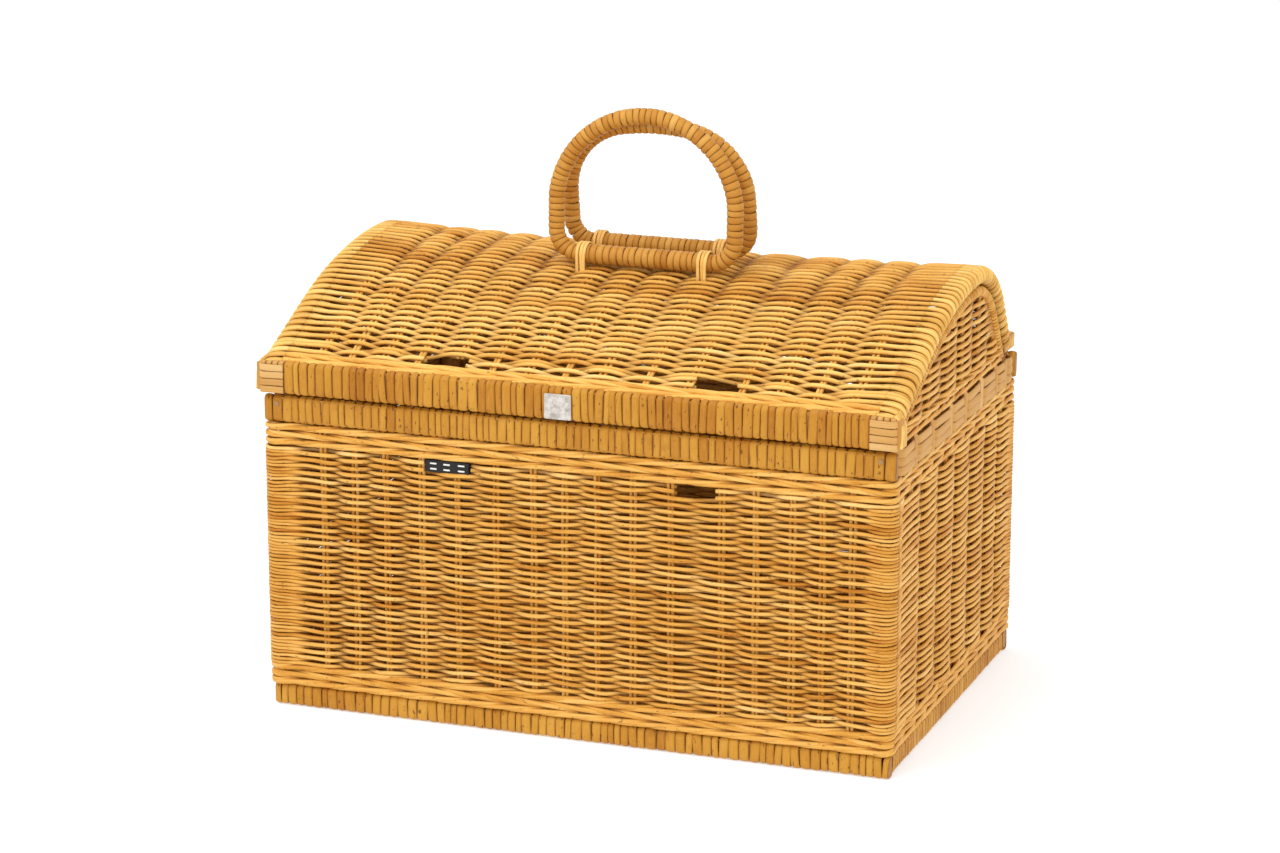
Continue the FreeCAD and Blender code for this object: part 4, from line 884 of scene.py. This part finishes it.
# corner blocks: level strips over upright loops
for side, sx in (("left", -1), ("right", 1)):
    for fr, sy in (("front", -1), ("rear", 1)):
        nm = "lid_corner_%s_%s" % (fr, side)
        lo, hi = mm_box(nm)
        p = Pile()
        rg = np.random.default_rng(410 + sx * 2 + sy)
        x_in, x_out = (lo[0], hi[0]) if sx > 0 else (hi[0], lo[0])
        if sy < 0:
            x_out -= sx * 5.
        y_out, y_in = (lo[1], hi[1]) if sy < 0 else (hi[1], lo[1])
        z0, z1 = lo[2], hi[2]
        # upright loops
        n = 4
        for k in range(n):
            c = x_in + (x_out - x_in) * (k + .5) / n
            Q, Nn = loop_rect(min(y_out, y_in) + .5, max(y_out, y_in) - .5, z0 + .6, z1 - .2, 2.2)
            wv = abs(x_out - x_in) / n / 2 - .08
            u = SEC[:, 0][None, None] * wv + c + 0 * Q[:, 0][None, :, None]
            v = SEC[:, 1][None, None] * 1.3
            A = Q[:, 0][None, :, None] + Nn[:, 0][None, :, None] * v
            Bz = Q[:, 1][None, :, None] + Nn[:, 1][None, :, None] * v
            p.grid(np.stack([u + 0 * A, A, Bz], -1), .5 + .1 * rg.normal(), np.arange(len(Q))[None, :, None] * 2., (SEC[:, 0] * 3)[None, None],
                   np.clip(-SEC[:, 1] * 1.7, 0, 1)[None, None], rg.random(), close_k=True)
        # level strips round the outer faces
        for k in range(4 if sy < 0 else 2):
            zc = z0 + 3.3 + 5.5 * k
            pts = [(x_in + sx * .2, y_out + sy * -.1), (x_in + sx * 6, y_out - sy * .0 + sy * .35), (x_out - sx * 6, y_out + sy * .45), (x_out - sx * 2.2, y_out + sy * .3),
                   (x_out + sx * .1, y_out - sy * 1.6), (x_out + sx * .35, y_out - sy * 5), (x_out + sx * .2, y_in)]
            pts = np.array(pts)
            tt = np.linspace(0, len(pts) - 1, 22)
            xy = np.stack([np.interp(tt, range(len(pts)), pts[:, 0]), np.interp(tt, range(len(pts)), pts[:, 1])], -1)
            d = np.gradient(xy, axis=0)
            nn = unit(np.stack([d[:, 1], -d[:, 0]], -1))
            if (nn[0] * np.array([0, sy])).sum() < 0:
                nn = -nn
            P = np.concatenate([xy, np.full((22, 1), zc) + .2 * np.sin(tt + k)[:, None]], 1)
            N = np.concatenate([nn, np.zeros((22, 1))], 1)
            strap(p, P[None], N[None], 5.0, 1.2, [.62 + .12 * rg.normal()], [rg.random()])
        p.build(nm + "_splints", M_SPLINT, "lid", [nm])


# ---------------------------------------------------------------- handles
def handle_line(rise):
    c0, k = 17., rise - 53.
    d = (k * k + c0 * c0) / (2 * k)
    a1 = math.atan2(d - k, c0)
    pts = [np.stack([np.linspace(0, 52, 40), np.zeros(40)], 1)]

    def arc(cx, cz, r, a, b, n):
        t = np.linspace(a, b, n)[1:]
        return np.stack([cx + r * np.cos(t), cz + r * np.sin(t)], 1)
    pts.append(arc(52, 18, 18, -PI / 2, 0, 26))
    pts.append(np.stack([np.full(14, 70.), np.linspace(18, 40, 15)[1:]], 1))
    pts.append(arc(17, 40, 53, 0, a1, 50))
    pts.append(arc(0, 40 + k - d, 53 + d, a1, PI / 2, 30))
    h = np.concatenate(pts)
    full = np.concatenate([h, (h * [-1, 1])[::-1][1:]])
    s = np.concatenate([[0], np.cumsum(np.linalg.norm(np.diff(full, axis=0), axis=1))])
    T = unit(np.gradient(full, axis=0))
    T[0] = T[-1] = (1, 0)
    return full, s, T


for which, rise, cx, y0, zb, lean, sd in (("front", 65.3, -.5, -9., 327., 1.9, 1), ("rear", 54.4, 1.7, 20.5, 330., -8.1, -1)):
    full, sl, T = handle_line(rise)
    L = sl[-1]
    c, w, r = widths(L, 4.9, .1, 70 + sd)
    th = np.linspace(0, 2 * PI, 26, endpoint=False)
    M, K, S = len(c), len(th), len(SEC)
    # the strap climbs a little as it goes round, and the joint lines are not quite square
    sk = r.normal(0, .22, M)[:, None]
    s = c[:, None, None] + SEC[:, 0][None, None] * (w[:, None, None] / 2 - .06) + (sk * np.cos(th) + .35 * np.sin(th))[:, :, None]
    s = np.mod(s, L)
    px, pz = np.interp(s, sl, full[:, 0]), np.interp(s, sl, full[:, 1])
    tx, tz = np.interp(s, sl, T[:, 0]), np.interp(s, sl, T[:, 1])
    q = np.hypot(tx, tz)
    tx, tz = tx / q, tz / q
    R = 6.3 + 1.1 * smooth((54 - np.abs(px)) / 6.) * (pz < 3) + .18 * r.random(M)[:, None, None] - .12
    rr = R + SEC[:, 1][None, None] * 1.15
    ct, sn = np.cos(th)[None, :, None], np.sin(th)[None, :, None]
    lx = px + rr * ct * tz
    lz = pz - rr * ct * tx
    ly = rr * sn + 0 * px
    a = math.radians(lean)
    V = np.stack([cx + lx, y0 + ly * math.cos(a) + lz * math.sin(a), zb - ly * math.sin(a) + lz * math.cos(a)], -1)
    p = Pile()
    p.grid(V, (.53 + .08 * r.normal(size=M))[:, None, None], (th * 6.3)[None, :, None], (SEC[:, 0] * 2.7)[None, None],
           np.clip(-SEC[:, 1] * 1.3 - .1, 0, 1)[None, None], r.random(M)[:, None, None], close_k=True)
    p.build(which + "_handle_cane", M_HANDLE, which + "_handle", [which + "_handle_wrap"])
    # lashings
    p = Pile()
    for sx in (-1, 1):
        for j, dx in enumerate((-2.7, 0., 2.7)):
            ang = np.linspace(0, PI, 15)
            yc = [-8.5] * 7 + list(-8.5 * np.cos(ang)) + [8.5] * 7
            zc = list(np.linspace(zb - 14, zb - 1.2, 7)) + list(zb + 8.5 * np.sin(ang)) + list(np.linspace(zb - 1.2, zb - 14, 7))
            n = len(yc)
            tw = np.linspace(-1, 1, n)
            xx = cx + sx * 47.5 + dx + .5 * tw * (1 if j != 1 else -1) + .2 * np.sin(tw * 5 + j)
            P = np.stack([xx, y0 + np.array(yc), np.array(zc)], -1)
            N = np.stack([0 * xx, np.array(yc), np.maximum(np.array(zc) - zb, 0)], -1)
            p.tubes(P[None], unit(N)[None], .72, 1.3, [.66 + .06 * r.normal()], painted_shade_and_joints=[.0], seed=[r.random()], sides=8)
    p.build(which + "_handle_lashing_cane", M_LASH, "lid", [which + "_handle_lashings"])

# ---------------------------------------------------------------- rods, posts, floor
for nm in ("front_left", "front_right", "rear_left", "rear_right"):
    lo, hi = mm_box("corner_post_" + nm)
    z = np.linspace(lo[2], hi[2], 44)
    cx, cy = (lo[0] + hi[0]) / 2, (lo[1] + hi[1]) / 2
    rr = 7.75 + .2 * np.exp(-((z - 90) / 3.) ** 2) + .2 * np.exp(-((z - 178) / 3.) ** 2)
    p = Pile()
    p.tubes(np.stack([cx + 0 * z, cy + 0 * z, z], -1)[None], (1, 0, 0), rr[None], rr[None], [.45], painted_shade_and_joints=[0.], seed=[.3], sides=18)
    p.build("post_" + nm, M_ROD, "trunk", ["corner_post_" + nm])

for side, sx in (("left", -1), ("right", 1)):
    # arch rod, bound with fine cane
    t = np.linspace(1.0, LT - 1.0, 150)
    y, z, ny, nz = dome(t, 19. + 0 * t)
    ok = (z > 239.5) & (y > -151.6)
    y, z, ny, nz = y[ok], z[ok], ny[ok], nz[ok]
    P = np.stack([sx * 236 + 0 * y, y, z], -1)
    N = np.stack([0 * y, ny, nz], -1)
    at_ = np.concatenate([[0], np.cumsum(np.hypot(np.diff(y), np.diff(z)))])
    cw, ww, rw = widths(at_[-1], 3.3, .12, 210 + sx)
    th = np.linspace(0, 2 * PI, 18, endpoint=False)
    u = cw[:, None, None] + SEC[:, 0][None, None] * (ww[:, None, None] / 2 - .05) + (.5 * np.sin(th))[None, :, None]
    yc, zc, nyc, nzc = (np.interp(u, at_, q) for q in (y, z, ny, nz))
    rr = 3.95 + SEC[:, 1][None, None] * 1.1 + .12 * rw.random((len(cw), 1, 1))
    ct, sn = np.cos(th)[None, :, None], np.sin(th)[None, :, None]
    p = Pile()
    p.grid(np.stack([sx * 236 + rr * sn + 0 * yc, yc + rr * ct * nyc, zc + rr * ct * nzc], -1), (.46 + .08 * rw.normal(size=len(cw)))[:, None, None],
           (th * 4)[None, :, None], (SEC[:, 0] * 1.6)[None, None], np.clip(-SEC[:, 1] * 1.7, 0, 1)[None, None], rw.random(len(cw))[:, None, None], close_k=True)
    p.build(side + "_arch_rod_pole", M_WEAVE, "trunk", [side + "_arch_rod"])

p = Pile()
xs = np.linspace(-227, 227, 110)
fl_stakes = np.linspace(-204, 204, 13)
for i, y0 in enumerate(np.arange(-147.2, 148, 3.7)):
    sg = np.where((np.arange(13) + i) % 2 == 0, 1., -1.)
    w = weave(xs, np.concatenate([[-228], fl_stakes, [228]]), np.concatenate([[0], sg, [0]]))
    P = np.stack([xs, y0 + .3 * np.sin(xs / 31. + i), 8. + 1.45 * w], -1)
    # painted shade where a strand crosses from over to under
    p.tubes(P[None], (0, 0, 1), 1.3, 1.75, (.45 + .12 * TONE_S(xs, i * 2. + 0 * xs))[None], painted_shade_and_joints=(.7 * (1 - np.abs(w)))[None], seed=[(i * .618) % 1])
for i, x0 in enumerate(fl_stakes):
    y = np.linspace(-149, 149, 30)
    for j in (-1.6, 0, 1.6):
        P = np.stack([x0 + j + .2 * np.sin(y / 19. + i), y, 8. + 0 * y], -1)
        # the stakes under the weavers carry a constant painted shade
        p.tubes(P[None], (0, 0, 1), .9, .9, [.4], painted_shade_and_joints=[.2], seed=[(i * .31 + j) % 1])
p.build("floor_weave", M_WEAVE, "trunk", ["base_floor"])


# ---------------------------------------------------------------- badge, strap
def rounded_plate(name, cx, z0, w, h, y_face, t, rad, mat, body, nodes_, bev=.25):
    pts = []
    for ax, az, q in ((w / 2 - rad, -h / 2 + rad, -PI / 2), (w / 2 - rad, h / 2 - rad, 0), (-w / 2 + rad, h / 2 - rad, PI / 2), (-w / 2 + rad, -h / 2 + rad, PI)):
        for tq in np.linspace(0, PI / 2, 6):
            pts.append((ax + rad * math.cos(q + tq), az + rad * math.sin(q + tq), math.cos(q + tq), math.sin(q + tq)))
    pts = np.array(pts)
    vs, fs = [], []
    n = len(pts)
    for off, y in ((0, y_face + t), (0, y_face + bev), (-bev, y_face)):
        for q in pts:
            vs.append(((cx + q[0] + off * q[2]) * .001, y * .001, (z0 + q[1] + off * q[3]) * .001))
    for k in range(2):
        for i in range(n):
            j = (i + 1) % n
            fs.append((k * n + i, k * n + j, (k + 1) * n + j, (k + 1) * n + i))
    fs.append(tuple(range(2 * n, 3 * n)))
    fs.append(tuple(reversed(range(n))))
    me = bpy.data.meshes.new(name)
    me.from_pydata(vs, [], fs)
    me.validate()
    me.update()
    me.materials.append(mat)
    ob = bpy.data.objects.new(name, me)
    bpy.context.scene.collection.objects.link(ob)
    if nodes_:
        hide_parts(*nodes_)
    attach(ob, body)
    return ob


mb = bpy.data.materials.new("badge")
mb.use_nodes = True
nt = mb.node_tree
bs = nt.nodes["Principled BSDF"]
tc = nt.nodes.new("ShaderNodeTexCoord").outputs["Object"]
n1, n2 = noise(nt, tc, 190., 5., .7), noise(nt, tc, 620., 3., .6)
t = maths(nt, "ADD", maths(nt, "MULTIPLY", n1, .75), maths(nt, "MULTIPLY", n2, .25), clamp=True)
nt.links.new(ramp(nt, t, [(0., (120, 108, 96)), (.42, (172, 162, 150)), (.56, (206, 200, 192)), (1., (232, 228, 222))]), bs.inputs["Base Color"])
nt.links.new(maths(nt, "MULTIPLY_ADD", n1, .5, .2), bs.inputs["Roughness"])
bs.inputs["Metallic"].default_value = .35
bp = nt.nodes.new("ShaderNodeBump")
bp.inputs["Strength"].default_value = .5
bp.inputs["Distance"].default_value = .0004
nt.links.new(n1, bp.inputs["Height"])
nt.links.new(bp.outputs[0], bs.inputs["Normal"])
lo, hi = mm_box("badge_plate")
rounded_plate("badge_worn_plate", (lo[0] + hi[0]) / 2, (lo[2] + hi[2]) / 2, hi[0] - lo[0], hi[2] - lo[2], lo[1], hi[1] - lo[1], 1.2, mb, "lid", ["badge_plate"])

mw = bpy.data.materials.new("webbing")
mw.use_nodes = True
nt = mw.node_tree
bs = nt.nodes["Principled BSDF"]
tc = nt.nodes.new("ShaderNodeTexCoord").outputs["Object"]
mp = nt.nodes.new("ShaderNodeMapping")
mp.inputs["Scale"].default_value = (1500., 300., 900.)
nt.links.new(tc, mp.inputs["Vector"])
n1 = noise(nt, mp.outputs[0], 1., 2., .5)
nt.links.new(ramp(nt, n1, [(0., (14, 13, 12)), (.5, (28, 27, 26)), (1., (58, 56, 54))]), bs.inputs["Base Color"])
bs.inputs["Roughness"].default_value = .85
bp = nt.nodes.new("ShaderNodeBump")
bp.inputs["Strength"].default_value = .6
bp.inputs["Distance"].default_value = .0005
nt.links.new(n1, bp.inputs["Height"])
nt.links.new(bp.outputs[0], bs.inputs["Normal"])
NODES["strap_stub"].data.materials.clear()
NODES["strap_stub"].data.materials.append(mw)
mt = plain_rod("thread_white", [(0., (190, 186, 178)), (.5, (232, 230, 224)), (1., (250, 249, 246))], .6, (900., 900., 900.))
p = Pile()
for gx in (-106.6, -96.2, -84.8):
    for dx in (-.0,):
        for zz in (198.6, 194.6):
            x = np.linspace(gx - 2.5, gx + 2.5, 5)
            P = np.stack([x, -160.62 + 0 * x - .12 * np.cos((x - gx) / 2.5 * PI / 2), zz + .1 * np.sin(gx) + 0 * x], -1)
            p.tubes(P[None], (0, -1, 0), .35, .62, [.7], painted_shade_and_joints=[0], seed=[.4])
p.build("strap_stitches", mt, "trunk")

# ---------------------------------------------------------------- CAD pieces that stay
for n, o in NODES.items():
    if o.hide_render or n == "strap_stub":
        continue
    o.data.materials.clear()
    if n == "rim_nails":
        o.data.materials.append(M_NAIL)
    elif n == "hinge_pins":
        o.data.materials.append(M_WIRE)
    elif n in ("rim_hinge_loops", "lid_hinge_loops"):
        o.data.materials.append(M_LOOP)
    else:
        o.data.materials.append(M_CORE)

# ---------------------------------------------------------------- floor, light, camera
mf = bpy.data.materials.new("studio_floor")
mf.use_nodes = True
nt = mf.node_tree
bs = nt.nodes["Principled BSDF"]
tc = nt.nodes.new("ShaderNodeTexCoord").outputs["Object"]
nf = noise(nt, tc, 3., 2., .5)
nt.links.new(ramp(nt, nf, [(0., (209, 211, 213)), (1., (213, 215, 217))]), bs.inputs["Base Color"])
bs.inputs["Emission Color"].default_value = (.97, .985, 1., 1)
bs.inputs["Emission Strength"].default_value = .44
bs.inputs["Roughness"].default_value = .9
bs.inputs["Specular IOR Level"].default_value = .1
me = bpy.data.meshes.new("studio_floor")
me.from_pydata([(-14, -14, 0), (14, -14, 0), (14, 14, 0), (-14, 14, 0)], [], [(0, 1, 2, 3)])
me.materials.append(mf)
fl = bpy.data.objects.new("studio_floor", me)
bpy.context.scene.collection.objects.link(fl)

world = bpy.data.worlds.new("studio")
bpy.context.scene.world = world
world.use_nodes = True
bg = world.node_tree.nodes.get("Background") or world.node_tree.nodes.new("ShaderNodeBackground")
bg.inputs["Color"].default_value = (1., 1., 1., 1)
bg.inputs["Strength"].default_value = 1.0
wo = world.node_tree.nodes.get("World Output") or world.node_tree.nodes.new("ShaderNodeOutputWorld")
world.node_tree.links.new(bg.outputs[0], wo.inputs[0])


def area(name, loc, target, size, power, color=(1, 1, 1)):
    li = bpy.data.lights.new(name, "AREA")
    li.shape = "RECTANGLE"
    li.size, li.size_y = size
    li.energy = power
    li.color = color
    ob = bpy.data.objects.new(name, li)
    bpy.context.scene.collection.objects.link(ob)
    ob.location = loc
    ob.rotation_euler = (Vector(target) - Vector(loc)).to_track_quat("-Z", "Y").to_euler()
    return ob


area("key_overhead", (-.7, -1.1, 2.6), (0, 0, .2), (2.2, 2.2), 35)
area("fill_right", (2.4, -1.6, 1.4), (0, 0, .2), (1.2, 1.2), 10)

sc = bpy.context.scene
sc.view_settings.view_transform = "Standard"
sc.view_settings.look = "None"
sc.view_settings.exposure = 0.
sc.view_settings.gamma = 1.

az, el = math.radians(20.41), math.radians(14.86)
back = Vector((math.sin(az) * math.cos(el), -math.cos(az) * math.cos(el), math.sin(el)))
fwd = -back
right = fwd.cross(Vector((0, 0, 1))).normalized()
up = right.cross(fwd)
dist = 2.824
A0 = Vector((0, 0, .144))
loc = A0 - (fwd * dist + right * (9.4 / 3750) * dist - up * (66.8 / 3750) * dist)
cam = bpy.data.cameras.new("camera")
cam.sensor_fit = "HORIZONTAL"
cam.sensor_width = 36.
cam.lens = 36. * 3750 / 1280
cam.clip_start, cam.clip_end = .05, 60
co = bpy.data.objects.new("camera", cam)
sc.collection.objects.link(co)
co.location = loc
co.rotation_euler = fwd.to_track_quat("-Z", "Y").to_euler()
sc.camera = co

bpy.context.view_layer.update()


print("TRIS", sum(TRIS.values()), {k: v for k, v in TRIS.items() if v > 60000})
